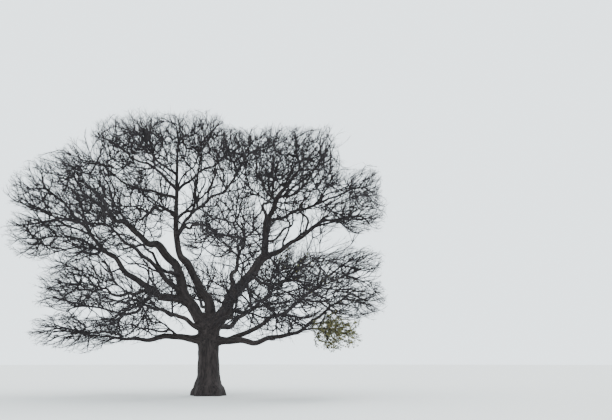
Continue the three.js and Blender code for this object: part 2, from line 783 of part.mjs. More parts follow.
function massSolid( bough, limbs, index ) {

	const random = seededRandom( MASS_SEED + MASS_SEED_STEP * index );
	const heading = framesAlong( bough.points ).at( - 1 ).ahead;
	const start = bough.points.at( - 1 ).clone();
	start.addScaledVector( heading, bough.joined ? - bough.end : SEAT_GAP );
	const nodes = growTwigs( bough, limbs, start, heading, random );
	const tips = tipsCarried( nodes );
	const thicken = ( share ) => THINNEST + ( bough.end - THINNEST ) * share ** PIPE_POWER;
	const radiusOf = ( i ) => thicken( ( tips[ i ] - 1 ) / ( tips[ 0 ] - 1 ) );
	const lines = twigRuns( nodes, tips ).map( ( run ) => twigLine( run, nodes, radiusOf ) );
	const twigs = lines.map( ( { places, radii }, i ) => (
		tube( places, radii, TWIG_SIDES, true, i * TWIG_ROLL )
	) );
	const leaves = bough.name === LEAFY ? lingeringLeaves( bough, limbs, lines.slice( 1 ), random ) : [];
	return wasm.Manifold.union( [ ...twigs, ...leaves ] );

}

// Puts a solid in the scene as a mesh that stands at its own foot

function addMesh( group, name, solid, foot, finish ) {

	const { vertProperties, triVerts } = solid.translate( [ - foot.x, - foot.y, - foot.z ] ).getMesh();
	const geometry = new THREE.BufferGeometry();
	geometry.setAttribute( 'position', new THREE.BufferAttribute( vertProperties, 3 ) );
	geometry.setIndex( new THREE.BufferAttribute( triVerts, 1 ) );
	geometry.computeVertexNormals();
	const mesh = new THREE.Mesh( geometry, new THREE.MeshStandardMaterial( finish ) );
	mesh.name = name;
	mesh.position.copy( foot );
	group.add( mesh );

}

// The tree

const limbs = new Map();
limbs.set( 'trunk', {
	points: TRUNK_LEVELS.map( trunkCentre ),
	pointAt: ( t ) => trunkCentre( t * TRUNK_HEIGHT ),
	radiusAt: () => TRUNK_RADIUS,
} );
BOUGHS.forEach( ( row, index ) => limbs.set( row.name, layOut( row, index, limbs ) ) );
for ( const limb of limbs.values() ) {

	limb.segments = limb.points.slice( 1 ).map( ( point, i ) => ( {
		line: new THREE.Line3( limb.points[ i ], point ),
		radius: limb.rings ? limb.radiusAt( limb.rings[ i ] ) : TRUNK_RADIUS + FLARE,
	} ) );

}

const tree = new THREE.Group();
const trunk = trunkSolid( 0 );
addMesh( tree, 'trunk', trunk, new THREE.Vector3(), BARK );

const cutters = [ trunkSolid( SEAT_GAP ) ];
const masses = [];
[ ...limbs.values() ].slice( 1 ).forEach( ( bough, index ) => {

	let solid = boughSolid( bough, 0 );
	for ( const cutter of cutters ) solid = solid.subtract( cutter );
	solid = largestPiece( solid );
	cutters.push( boughSolid( bough, SEAT_GAP ) );
	let twigs = massSolid( bough, limbs, index );
	if ( bough.joined ) twigs = twigs.add( solid );
	else addMesh( tree, `bough_${ bough.name }`, solid, bough.points[ 0 ], BARK );
	masses.push( { bough, twigs } );

} );
for ( const { bough, twigs } of masses ) {

	const finish = bough.name === LEAFY ? LEAFY_TWIGS : TWIGS;
	addMesh( tree, `twigs_${ bough.name }`, largestPiece( twigs ), bough.points.at( - 1 ), finish );

}

export default tree;
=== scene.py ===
"""The looks of an old hackberry tree in winter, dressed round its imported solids.

Metres, +Z up. The trunk and boughs get a skin of bark, and each mass of twigs is grown again by
the rule of the solids and carried to finer twigs. Olive leaves linger on the lowest right-hand twigs.
"""

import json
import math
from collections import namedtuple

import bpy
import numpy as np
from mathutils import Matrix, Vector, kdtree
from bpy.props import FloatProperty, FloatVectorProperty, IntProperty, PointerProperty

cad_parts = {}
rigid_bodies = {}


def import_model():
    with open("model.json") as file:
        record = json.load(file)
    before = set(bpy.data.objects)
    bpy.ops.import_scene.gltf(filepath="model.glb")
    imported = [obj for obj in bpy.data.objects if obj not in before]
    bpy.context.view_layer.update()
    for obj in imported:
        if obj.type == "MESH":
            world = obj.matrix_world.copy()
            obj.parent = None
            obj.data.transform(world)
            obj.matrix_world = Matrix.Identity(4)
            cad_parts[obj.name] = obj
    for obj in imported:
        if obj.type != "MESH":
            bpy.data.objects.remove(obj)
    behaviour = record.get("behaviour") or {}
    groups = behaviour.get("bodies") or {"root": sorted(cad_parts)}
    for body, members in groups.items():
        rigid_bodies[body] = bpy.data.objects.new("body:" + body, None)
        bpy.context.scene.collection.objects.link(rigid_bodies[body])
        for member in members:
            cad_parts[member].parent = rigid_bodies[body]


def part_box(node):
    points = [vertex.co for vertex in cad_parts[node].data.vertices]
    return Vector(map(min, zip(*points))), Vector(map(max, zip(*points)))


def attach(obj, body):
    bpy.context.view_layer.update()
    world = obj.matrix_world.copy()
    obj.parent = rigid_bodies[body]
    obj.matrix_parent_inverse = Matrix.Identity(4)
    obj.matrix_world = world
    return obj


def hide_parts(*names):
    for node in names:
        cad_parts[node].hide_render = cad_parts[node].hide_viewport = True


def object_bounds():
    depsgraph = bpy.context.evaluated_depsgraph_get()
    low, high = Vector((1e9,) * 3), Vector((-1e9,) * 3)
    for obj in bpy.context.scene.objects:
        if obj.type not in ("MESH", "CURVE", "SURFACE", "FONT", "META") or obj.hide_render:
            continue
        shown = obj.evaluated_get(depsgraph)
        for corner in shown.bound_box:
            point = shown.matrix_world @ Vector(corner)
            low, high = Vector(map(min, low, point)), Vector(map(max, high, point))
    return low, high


bl_info = {
    "name": "Winter Hackberry",
    "version": (1, 0, 0),
    "blender": (4, 5, 0),
    "location": "3D View > Sidebar > Hackberry",
    "description": "Grows the bark, twigs and last leaves of a bare hackberry tree",
    "category": "Object",
}

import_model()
SOLID_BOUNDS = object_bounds()

BODY = "root"
UP = np.array((0.0, 0.0, 1.0))

# The trunk, as in the solids

TRUNK_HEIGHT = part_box("trunk")[1].z
TRUNK_LEAN = -0.05
TRUNK_RADIUS = 0.505
TRUNK_SWELL = 0.035
FORK_SHOULDER = 3.05
FORK_RADIUS = 0.19
FLARE = 0.3
FLARE_HEIGHT = 0.6
ROOT_RIDGES = 5
RIDGE_DEPTH = 0.095
RIDGE_FACING = 0.35
OVAL = 0.4
OVAL_FACING = 0.5
TRUNK_LEVELS = (0, 0.13, 0.28, 0.46, 0.68, 0.95, 1.7, 2.45, FORK_SHOULDER, 3.42, 3.65, TRUNK_HEIGHT)

# The boughs, as in the solids

SEAT_GAP = 0.0003
RING_SPACING = 0.95
RING_CROWDING = 1.25
COLLAR = 0.42
COLLAR_LIMIT = 0.8
COLLAR_LENGTH = 1.3
WANDER = 0.011
WANDER_LENGTH = 2.0
QUICK_BENDS = 1.7
QUICK_SHARE = 0.5
SWING_PACE = 0.85
WANDER_FADE = 0.25

# The masses of twigs, as in the solids

STEM_LENGTH = 0.25
DIVIDE_SWING = 0.22
TEST_SPACING = 0.12
ROOT_TAPER = 1.3

# The seeds of the boughs and masses are the solids' own
BOUGH_SEED = 40
BOUGH_SEED_STEP = 7
MASS_SEED = 1040
MASS_SEED_STEP = 13
FINE_SEED = 5000
SIDE_SEED = 9000
LEAF_SEED = 77
WART_SEED = 5

# How each pass of twigs grows.
# cell: one target lies in each cell of this size.
# shortest, longest: of a twig between two forks.
# share: how much of the way to its targets a twig goes before it forks.
# turn: how much of its old heading a twig keeps.
# clearance: between a twig and any limb.
# edge, margin: how far out a mass reaches, and what it leaves to the next one, as shares of its reach.
# tested: whether each twig is tested as its targets are.
# fans: whether targets are divided by the way they lie from the fork.
# joints: spacing of the joints from which this pass's twigs leave older ones.
# lead: how far ahead of such a joint its targets lie.
# farthest: how far a target may lie from there.
# crowd: a joint with more targets than this has two shoots.
# most: a joint serves no more targets than this, the nearest.
# last: how much of its old heading the last twig of a shoot keeps.
# shade: the share of the targets that are kept in the shade, deep in the crown.
Pass = namedtuple(
    "Pass",
    "cell shortest longest share turn clearance edge margin tested fans joints lead farthest crowd"
    " most last shade",
    defaults=(1, 0, True, True, 0, 0, 0, 0, 0, 0, 1),
)
COARSE = Pass(
    cell=1.08, shortest=0.16, longest=0.9, share=0.42, turn=0.45, clearance=0.09, margin=0.045,
    fans=False)
MIDDLE = Pass(
    cell=0.55, shortest=0.14, longest=0.55, share=0.36, turn=0.75, clearance=0.06,
    joints=0.3, lead=0.5, farthest=0.85, crowd=3, most=9, last=0.4, shade=0.7)
FINE = Pass(
    cell=0.19, shortest=0.1, longest=0.4, share=0.38, turn=1.1, clearance=0.03, edge=1.08, tested=False,
    joints=0.2, lead=0.34, farthest=0.44, crowd=6, most=12, last=0.9, shade=0.22)
SIDE = Pass(
    cell=1.05, shortest=0.3, longest=1, share=0.36, turn=0.6, clearance=0.05, edge=0.7,
    lead=1.1, farthest=2, crowd=3, most=12, last=0.4)
SIDE_MIDDLE = Pass(
    cell=0.6, shortest=0.16, longest=0.6, share=0.36, turn=0.75, clearance=0.04, edge=0.55,
    joints=0.34, lead=0.6, farthest=1, crowd=3, most=8, last=0.4, shade=0.8)
SIDE_FINE = Pass(
    cell=0.25, shortest=0.1, longest=0.44, share=0.38, turn=1.1, clearance=0.03, edge=0.55, tested=False,
    joints=0.22, lead=0.38, farthest=0.5, crowd=6, most=9, last=0.9, shade=0.34)

# Twigs lead away from the fork of the trunk, and it counts little how far off their targets are
CROWN_FOOT = np.array((-0.05, 0.0, 3.2))
OUTWARD_PULL = 1.1
DISTANCE_SHARE = 0.35

# The crown's middle and how far it reaches from there to the sides, up and down. Fine twigs crowd
# where the light is, near its surface: how deep the light and the shade lie, as shares of its reach
CROWN_MIDDLE = np.array((-0.7, 0.0, 6.2))
CROWN_RISE = np.array((9.3, 10.5, 8.6))
CROWN_DROP = np.array((9.3, 10.5, 4.0))
LIT_FROM = 0.82
SHADED_FROM = 0.4

# Side boughs keep within the crown: a mass, a little larger than it is, lies further out on the
# same line from the crown's foot
FURTHER_OUT = (1.03, 1.15, 1.35, 1.6, 2)
LARGER_MASS = 1.42

# Twigs have slow bends and quick ones: the length and size of each, and how the axes are mixed
BENDS = ((1.3, 0.045), (0.42, 0.014))
BEND_MIX = np.array(((0.3, 0.9, -0.4), (0.8, -0.2, 0.6), (0.5, 0.5, 0.8)))
BEND_FADE = 0.9

# How a twig's girth follows the number of tips that it carries
TWIG_POWER = 0.36

# Side boughs have their roots along a bough, from a first share of its length to a last one. Its
# heading there is read over a short span. A side bough first leads out of it, by STUB times its
# radius, and leans along it. Its girth follows its tips, up to a share of the bough's
SIDE_FIRST_ON_TRUNK = 0.26
SIDE_FIRST = 0.14
SIDE_LAST = 0.97
SIDE_SPACING = 0.85
HEADING_SPAN = 0.02
STUB = 1.15
SHOOT_LEAN = 0.6
SIDE_GIRTH = 0.5
SIDE_POWER = 0.45
SIDE_PIECES = ("side_twigs_left", "side_twigs_middle", "side_twigs_right", "side_twigs_far_right")

# Side twigs aim no lower than this, and fine twigs no further than this past the solids' box
LOWEST_TWIG = 2.35
REACH_SLACK = 0.1

# The looks of the twigs: thicker ones are rounder, and each ends in a ring so small that it merges to a
# point. A mass's stem is drawn back into its bough. A joint that lies no further than STRAIGHT off its
# twig's line is left out.
TIP_RADIUS = 0.00001
BRANCH_RADIUS = 0.014
BRANCH_SIDES = 6
TWIG_SIDES = 3
STEM_OVERLAP = 0.12
STRAIGHT = 0.006

# The looks of the trunk and boughs: limbs thicker than SKIN_RADIUS are melted into one skin, and the
# thin ends carry on. The two overlap, and the skin's end shrinks into the thin limb, to a share of its
# radius over a share of the overlap. The trunk goes on below the ground and is then cut flat there
TRUNK_SIDES = 72
TRUNK_RINGS = 60
SHOULDER_RINGS = 14
SHOULDER_START = 0.1
SKIN_RADIUS = 0.085
SKIN_SIDES = 28
SKIN_STEP = 0.06
SKIN_TESTS = 60
SKIN_SMOOTHING = 12
SKIN_OVERLAP = 0.35
DIVE = 0.55
DIVE_LENGTH = 0.6
THIN_SIDES = 14
THIN_STEP = 0.045
GROUND_ALLOWANCE = 0.1

# The bark's grain is read from places along the middle of each limb, the first of them a share of the
# way out of its parent. Each limb's grain starts further along than the last one's, so that no two limbs
# look alike. Where one of the GRAIN_NEIGHBOURS places nearest to a point lies on another limb, the relief
# fades towards that limb
GRAIN_STEP = 0.08
GRAIN_ROOT = 0.9
GRAIN_SHIFT = 7.3
GRAIN_NEIGHBOURS = 14
GRAIN_FADE = 0.2

# The bark's patterns, as features to a metre, and how they are drawn out along the limb. Flutes are
# about 240 mm wide, wrinkles 60 mm, furrows 55 mm and streaks of lichen 200 mm. Real furrows are 10 to
# 20 mm apart, too fine to show from the viewer's place, so they are drawn coarser. Noise keeps close to
# its middle, so the flutes are drawn several times as high
FLUTES = 4.2
FLUTE_DRAW = 0.18
FLUTE_GAIN = 4
WRINKLES = 17
WRINKLE_DRAW = 0.3
FURROWS = 18
FURROW_DRAW = 0.16
STREAKS = 5
OLD_FURROW_DEPTH = 0.012
YOUNG_FURROW_DEPTH = 0.006

# Warts vary between these shares of a middling one's length, width and height
WART_SMALLEST = (0.5, 0.5, 0.25)
WART_LARGEST = (1.5, 1.1, 0.55)

# Patches of darker and paler bark on thin branches, about 140 mm across, as features to a metre
PATCHES = 7

# A leaf blade's widths along it, as shares of its length and width, and its thickness, fold and sag
LEAF_STATIONS = ((0.14, 0.52), (0.36, 1.0), (0.62, 0.78), (0.84, 0.36))
LEAF_THICKNESS = 0.012
LEAF_FOLD = 0.3
LEAF_SAG = 0.12

# How leaves hang, in radians: how far they roll, how far down and up they point, how far to a twig's
# side they stand and how far they swing from there. Their sizes follow, as shares of a whole leaf, and
# the tints, which share out the leaves between them
LEAF_ROLL = 1.6
LEAF_DROOP = 0.9
LEAF_LIFT = 0.05
LEAF_ASIDE = 1
LEAF_SWING = 0.8
LEAF_SMALLEST = 0.65
LEAF_SPREAD = 0.5
LEAF_TINTS = ("olive", "yellow", "brown")
LEAF_SHARES = (0, 0.5, 0.82, 1)

# The floor reaches out of sight. The key light's turns and width are in degrees
FLOOR_RADIUS = 260
FLOOR_SIDES = 96
KEY_TURN = (-38, 24, 0)
KEY_WIDTH = 25

# A bough, or the bough and its mass of twigs.
# parent, along: the limb that carries it, and how far along that it leaves, as a share of its length.
# leave, arrive: how steeply it rises at its foot and at its tip, in degrees.
# by, tip: the places that it passes, and where it ends.
# foot, end: its radius there.
# centre, reach: the middle of the mass, if it has one, and how far that reaches along each axis.
# cell: the mass has one coarse target in each cell of this size.
# joined: whether bough and mass are one solid.
Bough = namedtuple(
    "Bough",
    "name parent along leave arrive by tip foot end centre reach cell joined",
    defaults=(None, None, COARSE.cell, False),
)

BOUGHS = (
    Bough("leader_left", "trunk", 0.79, 62, 38,
          ((-1.2, 0, 4.75), (-1.95, 0.2, 6.6), (-3.6, 0.6, 7.85)), (-6.85, 1.2, 10.25),
          0.32, 0.06, (-7.25, 1.2, 11.25), (1.75, 2.2, 1.65)),
    Bough("leader_centre", "trunk", 0.84, 88, 84,
          ((-0.05, 0.1, 4.35), (-0.95, 0.2, 5.95), (-1.75, 0.1, 7.45), (-1.85, 0, 9.85)),
          (-1.85, -0.2, 11.9),
          0.27, 0.06, (-1.7, -0.6, 13.15), (1.65, 2.1, 1.6)),
    Bough("leader_right", "trunk", 0.83, 40, 48,
          ((1.5, -0.2, 5.35), (2.6, -0.2, 6.7), (2.8, 0, 8.7)), (4.25, 0.8, 11.3),
          0.34, 0.06, (4.35, 1.2, 12.5), (1.8, 2.2, 1.65)),
    Bough("low_right", "trunk", 0.71, 0, 44,
          ((2.2, -0.5, 2.6), (4.3, -0.9, 3.05)), (5.85, -1.25, 4.15),
          0.19, 0.05, (7, -1.3, 4.6), (1.6, 2.4, 1.3)),
    Bough("low_left", "trunk", 0.72, 4, 4,
          ((-2.1, -0.5, 2.8), (-3.5, -0.9, 2.65)), (-4.7, -1.25, 2.8),
          0.2, 0.05, (-6.15, -1.6, 3.05), (2.15, 2.2, 1.05)),
    Bough("front_left", "trunk", 0.81, 10, 10,
          ((-1.1, -1.2, 3.65),), (-2.2, -4.7, 4.05),
          0.14, 0.05, (-2.4, -6.5, 4.05), (1.9, 2.2, 1.3)),
    Bough("front_right", "trunk", 0.78, 34, 8,
          ((0.9, -1.2, 3.7),), (2.95, -5, 4.05),
          0.14, 0.05, (3.6, -6.6, 4.2), (1.9, 2.15, 1.3)),
    Bough("back_right", "trunk", 0.84, 30, 30,
          ((0.8, 1.4, 3.45),), (3.1, 5.2, 5.7),
          0.16, 0.05, (3.9, 6.3, 6.3), (2, 2.1, 1.45)),
    Bough("rising_right", "low_right", 0.14, 20, 34,
          ((2.4, 0, 3.35), (4.45, 0.4, 4.6)), (6.25, 0.75, 6.15),
          0.13, 0.05, (7.15, 0.9, 6.6), (1.55, 2.2, 0.9)),
    Bough("drooping_right", "low_right", 0.66, -2, -6,
          ((4.75, -1.35, 3.15),), (5.3, -1.8, 3.15),
          0.06, 0.04, (6.15, -2.5, 3), (1.35, 1.45, 0.85), 0.76),
    Bough("mid_left", "leader_left", 0.2, 6, 50,
          ((-2.85, -0.3, 5.05), (-4.8, -0.5, 6.65)), (-7.3, -0.6, 9.35),
          0.2, 0.055, (-8.35, -0.8, 10.15), (1.5, 2.2, 1.45)),
    Bough("level_left", "mid_left", 0.23, -6, 6,
          ((-4.95, 1.4, 5),), (-6.5, 3.2, 5.6),
          0.105, 0.045, (-7.7, 4.2, 5.8), (2.1, 2.4, 1.25)),
    Bough("hanging_left", "mid_left", 0.22, -50, 4,
          ((-3.45, -2.4, 3.8),), (-4.3, -3.75, 3.95),
          0.095, 0.045, (-4.95, -4.9, 4.1), (1.9, 2, 1)),
    Bough("far_left", "mid_left", 0.6, 18, 6,
          ((-6.7, 0.2, 7.7),), (-8.05, 0.7, 7.95),
          0.075, 0.045, (-9.45, 0.8, 7.9), (1.55, 2.4, 1.15)),
    Bough("upper_left", "leader_left", 0.24, 16, 34,
          ((-2.7, -1.8, 6.35),), (-3.8, -4.2, 7.35),
          0.15, 0.05, (-4.3, -5.5, 7.8), (1.9, 2.1, 1.45)),
    Bough("inner_left", "leader_centre", 0.67, 30, 24,
          ((-2.9, 1.8, 9.6),), (-4.4, 4.1, 10),
          0.085, 0.045, (-5.3, 5.2, 10.5), (2.05, 2.3, 1.55)),
    Bough("high_left", "leader_centre", 0.76, 24, 44,
          ((-3.35, -1.2, 10),), (-4.5, -2.3, 10.5),
          0.085, 0.045, (-5.1, -2.8, 11.1), (1.6, 2.2, 1.3)),
    Bough("top_left", "leader_centre", 0.81, 52, 30,
          ((-3.25, 0.5, 11.6),), (-4.3, 0.8, 12.1),
          0.085, 0.045, (-4.9, 1, 13), (1.65, 2.2, 1.35)),
    Bough("top_front", "leader_centre", 0.9, 30, 40,
          ((-2.25, -1.5, 11.1),), (-2.6, -2.7, 11.45),
          0.07, 0.045, (-2.85, -3.4, 12.2), (1.45, 2.1, 1.2)),
    Bough("top_right", "leader_centre", 0.8, 44, 40,
          ((-0.95, 1.3, 11.45),), (-0.05, 2.7, 12.45),
          0.08, 0.045, (0.5, 3.2, 13.2), (1.45, 2.1, 1.25)),
    Bough("long_right", "leader_centre", 0.65, 34, 56,
          ((-0.05, -1.6, 9.3),), (1.5, -3, 10.4),
          0.08, 0.045, (2.05, -3.4, 11.4), (1.55, 2.1, 1.4)),
    Bough("back_top", "leader_centre", 0.55, 50, 74,
          ((-1.2, 1.5, 9.75),), (-0.85, 1.5, 12.5),
          0.095, 0.045, (-0.5, 1.7, 13.5), (1.45, 2.1, 1.4)),
    Bough("small_front", "leader_centre", 0.53, 50, -6,
          ((-0.5, -2.2, 8),), (0.75, -5.2, 7.15),
          0.075, 0.04, (1.25, -6.5, 6.8), (1.85, 2, 1.25)),
    Bough("back_centre", "leader_right", 0.17, 60, 50,
          ((1.05, 1.5, 6.3), (1.15, 3.3, 8)), (0.8, 5, 9),
          0.14, 0.05, (0.2, 6.2, 9.9), (2.1, 2.1, 1.6)),
    Bough("outer_right", "leader_right", 0.43, 34, 14,
          ((4.45, -0.2, 7.7), (5.4, -0.6, 8.4)), (6.35, -1, 8.55),
          0.16, 0.05, (7.45, -1.2, 8.8), (1.6, 2.2, 1)),
    Bough("centre_right", "leader_right", 0.66, 80, 50,
          ((2.55, 1.4, 9.7),), (2.9, 3.5, 10.8),
          0.09, 0.045, (3.3, 4.4, 11.7), (1.75, 2.2, 1.5)),
    Bough("reaching_right", "leader_right", 0.64, 40, 22,
          ((3.95, 0.9, 9.15),), (6.5, 1.65, 10.3),
          0.1, 0.045, (7.5, 1.9, 10.75), (1.7, 2.2, 1.15)),
    Bough("high_right", "leader_right", 0.8, 30, 60,
          ((4.25, -0.5, 9.95),), (5, -1.1, 10.8),
          0.075, 0.045, (5.7, -1.4, 11.75), (1.6, 2.2, 1.45)),
    Bough("under_right", "leader_right", 0.34, 10, 12,
          ((2.9, -2.4, 5.15),), (3.95, -4.8, 5.2),
          0.1, 0.045, (4.65, -5.9, 5.5), (1.7, 2, 1.15)),
    Bough("low_back", "trunk", 0.88, 40, 34,
          ((-0.5, 1.9, 4.3),), (-1.35, 4.5, 5.4),
          0.15, 0.05, (-1.8, 5.8, 6.1), (2.1, 2.1, 1.35), COARSE.cell, True),
)

# Thinner boughs that wind through the middle of the crown, and how far they wander, as a share of their
# length. The solids leave them out

INNER_WANDER = 0.04
INNER_BOUGHS = (
    Bough("crossing_left", "leader_centre", 0.69, 34, -20,
          ((-2.6, -0.3, 9.25), (-3.15, -0.7, 8.9)), (-3.9, -1.1, 8.45), 0.075, 0.03),
    Bough("upright_centre", "long_right", 0.35, 60, 80,
          ((-0.55, -1.3, 9.5), (-0.3, -1.5, 10.2)), (-0.5, -1.6, 11.05), 0.055, 0.025),
    Bough("level_centre", "leader_centre", 0.58, 40, -40,
          ((-1, -0.5, 8.3), (0, -1, 8.25)), (0.95, -1.4, 7.7), 0.055, 0.025),
    Bough("winding_right", "back_centre", 0.5, 60, 80,
          ((1.55, 1.9, 7.75), (1.05, 1.5, 8.8)), (1.15, 1.2, 9.6), 0.075, 0.03),
    Bough("curling_right", "winding_right", 0.4, 20, 100,
          ((2.05, 1.2, 8.8), (2.5, 1, 9.25)), (2.3, 0.8, 10.1), 0.055, 0.025),
    Bough("level_inner", "back_centre", 0.5, 30, 40,
          ((0.55, 1.5, 7.2), (0, 1.1, 7)), (-0.6, 0.8, 7.45), 0.055, 0.025),
    Bough("beside_leader", "leader_right", 0.56, -10, 80,
          ((3.6, -0.7, 7.9), (4.05, -1, 8.4)), (4.2, -1.3, 9.5), 0.065, 0.03),
    Bough("elbow_right", "outer_right", 0.58, 80, 60,
          ((4.75, -0.6, 8.45), (4.5, -0.8, 9)), (5, -1, 9.95), 0.065, 0.03),
    Bough("upright_right", "leader_right", 0.78, 70, 80,
          ((2.75, -0.5, 10.25), (2.3, -0.9, 10.9)), (2.25, -1.1, 11.75), 0.07, 0.03),
    Bough("upright_left", "leader_left", 0.72, 70, 80,
          ((-5, 0.2, 9.2), (-4.95, -0.3, 9.9)), (-5.2, -0.7, 10.8), 0.065, 0.03),
    Bough("rising_centre", "long_right", 0.5, 60, 60,
          ((0.05, -1.7, 9.9), (0.4, -2, 10.5)), (0.5, -2.2, 11.1), 0.05, 0.025),
    Bough("under_leader_left", "leader_left", 0.3, 20, 50,
          ((-2.05, -0.8, 6.05), (-2.6, -1.2, 6.5)), (-3.15, -1.5, 7.2), 0.1, 0.05),
    Bough("between_right", "outer_right", 0.75, 50, 30,
          ((5.8, -0.8, 8.8), (6.25, -1.1, 9.15)), (6.95, -1.4, 9.5), 0.05, 0.025),
    Bough("over_low_left", "low_left", 0.3, 20, 40,
          ((-2.25, -0.9, 3.2), (-3.05, -1.3, 3.15)), (-4.1, -1.7, 3.55), 0.06, 0.025),
    Bough("between_left", "mid_left", 0.36, 20, 30,
          ((-4.3, -1.3, 5.95), (-4.85, -1.8, 6.05)), (-5.6, -2.2, 6.45), 0.06, 0.025),
    Bough("inner_level_left", "upper_left", 0.3, 30, 30,
          ((-2.75, -1.8, 6.05), (-3.35, -2.1, 6.1)), (-4, -2.4, 6.45), 0.055, 0.025),
    Bough("level_right", "leader_right", 0.33, 20, 30,
          ((2.55, -1.2, 5.65), (3.45, -1.6, 5.7)), (4.6, -2.1, 6.1), 0.065, 0.03),
    Bough("rising_mid_left", "mid_left", 0.16, 30, 40,
          ((-2.8, -0.9, 5.6), (-3.1, -1.2, 6.1)), (-3.9, -1.5, 6.65), 0.06, 0.03),
    Bough("upright_top", "leader_centre", 0.82, 40, 70,
          ((-1.3, -0.6, 10.9), (-0.9, -0.9, 11.3)), (-0.6, -1.1, 12), 0.05, 0.025),
    Bough("above_outer", "outer_right", 0.3, 60, 60,
          ((3.75, -0.9, 7.9), (3.95, -1.2, 8.5)), (3.7, -1.5, 9.2), 0.06, 0.03),
    Bough("over_reaching", "reaching_right", 0.6, 20, 30,
          ((5.9, 0.6, 10.1),), (6.9, 0.1, 10.5), 0.045, 0.025),
)

CENTRES = np.array([bough.centre for bough in BOUGHS], float)
REACHES = np.array([bough.reach for bough in BOUGHS], float)

# The masses whose twigs are joined into one piece, the leafy one, and those with single leaves

TWIG_PIECES = {
    "fine_twigs_left_low": ("low_left", "hanging_left", "level_left", "front_left"),
    "fine_twigs_left_high": ("far_left", "mid_left", "leader_left", "upper_left"),
    "fine_twigs_left_top": ("inner_left", "high_left", "top_left", "low_back"),
    "fine_twigs_top": ("leader_centre", "top_front", "top_right", "back_top", "long_right"),
    "fine_twigs_front": ("small_front", "front_right", "under_right", "low_right"),
    "fine_twigs_right_top": ("leader_right", "centre_right", "high_right", "back_centre"),
    "fine_twigs_right": ("reaching_right", "outer_right", "rising_right", "back_right"),
    "fine_twigs_leafy": ("drooping_right",),
}
LEAFY = "drooping_right"
SPECKLED = ("low_right", "rising_right", "under_right")

# Where the viewer sees through the crown or past its edge: the middle of each window, its half
# width and half height, in the plane that the trunk stands in, and the share of twigs it leaves out

WINDOWS = (
    (-2.8, 6.6, 0.28, 0.3, 1),
    (-2.1, 7.9, 0.35, 0.5, 1),
    (-0.4, 7.3, 0.4, 0.35, 1),
    (-0.5, 4.45, 0.3, 0.35, 1),
    (-6.0, 4.02, 1.1, 0.3, 1),
    (-8.0, 4.05, 0.8, 0.2, 1),
    (-4.25, 4.65, 0.45, 0.2, 1),
    (-4.15, 5.45, 0.4, 0.22, 1),
    (-5.05, 5.25, 0.4, 0.3, 1),
    (-9.4, 6.4, 1.2, 0.35, 1),
    (-2.0, 15.6, 3.8, 1.35, 1),
    (1.6, 14.1, 1.2, 0.6, 1),
    (4.6, 14.5, 2.0, 0.8, 1),
    (7.2, 12.3, 0.9, 1.0, 1),
    (8.1, 7.65, 1.1, 0.38, 1),
    (5.7, 7.4, 1.2, 0.22, 1),
    (7.7, 5.9, 0.65, 0.22, 1),
    (4.5, 4.15, 0.6, 0.22, 1),
    (4.75, 2.65, 0.8, 0.35, 1),
    (3.95, 5.35, 0.45, 0.22, 0.8),
    (4.2, 5.2, 0.9, 0.5, 0.4),
    (-6.6, 12.4, 1.0, 0.7, 0.6),
    (-5.6, 11.2, 1.3, 0.7, 0.25),
    (-4.0, 12.2, 1.6, 0.5, 0.2),
    (6.9, 11.2, 0.7, 0.5, 0.4),
    (6.7, 13.5, 0.6, 0.7, 0.85),
    (7.1, 12.3, 0.6, 0.6, 1),
    (7.9, 3.2, 0.7, 0.5, 1),
    (1.6, 8.75, 1.6, 1.0, 0.5),
    (-4.1, 8.9, 1.2, 1.2, 0.4),
    (-4.0, 3.8, 0.8, 0.45, 0.45),
    (3.85, 10.0, 0.8, 0.6, 0.5),
    (-2.4, 9.35, 0.4, 0.3, 0.65),
    (-4.6, 9.6, 0.9, 0.55, 0.35),
    (7.6, 9.2, 0.6, 0.5, 0.4),
    (-6.4, 8.2, 0.7, 0.5, 0.35),
    (6.1, 7.75, 1.0, 0.45, 0.5),
    (-6.3, 5.25, 1.2, 0.45, 0.4),
    (2.6, 5.25, 0.6, 0.45, 0.3),
    (5.6, 6.25, 0.8, 0.4, 0.45),
    (7.6, 5.25, 0.6, 0.45, 0.4),
    (5.6, 7.25, 1.0, 0.3, 0.6),
)
WINDOW_EDGE = 0.3

# The box in which the side twigs' targets lie
CROWN_BOX = (
    np.array((SOLID_BOUNDS[0].x, SOLID_BOUNDS[0].y, LOWEST_TWIG)),
    np.array(SOLID_BOUNDS[1]),
)

# The viewer stands where the photograph was taken from, on the level ground, and sees as far as SIGHT.
# The eye's level lies this many pixels below the middle of the view, and the lens is this many long

VIEWER = np.array((4.765, -38.25, 1.7))
VIEWER_LENS = 45
VIEWER_SENSOR = 36
EYE_LEVEL_DROP = 150
LENS_LENGTH = 765
VIEWER_RISE = math.atan2(EYE_LEVEL_DROP, LENS_LENGTH)
SIGHT = 1000

# Places are tested this many at a time, to save memory
PLACES_AT_ONCE = 2000


def linear(colour):
    """An sRGB hex colour as linear red, green and blue."""
    channels = [int(colour[i:i + 2], 16) / 255 for i in (1, 3, 5)]
    return tuple(c / 12.92 if c <= 0.04045 else ((c + 0.055) / 1.055) ** 2.4 for c in channels)


# Sizes and colours that a user would change


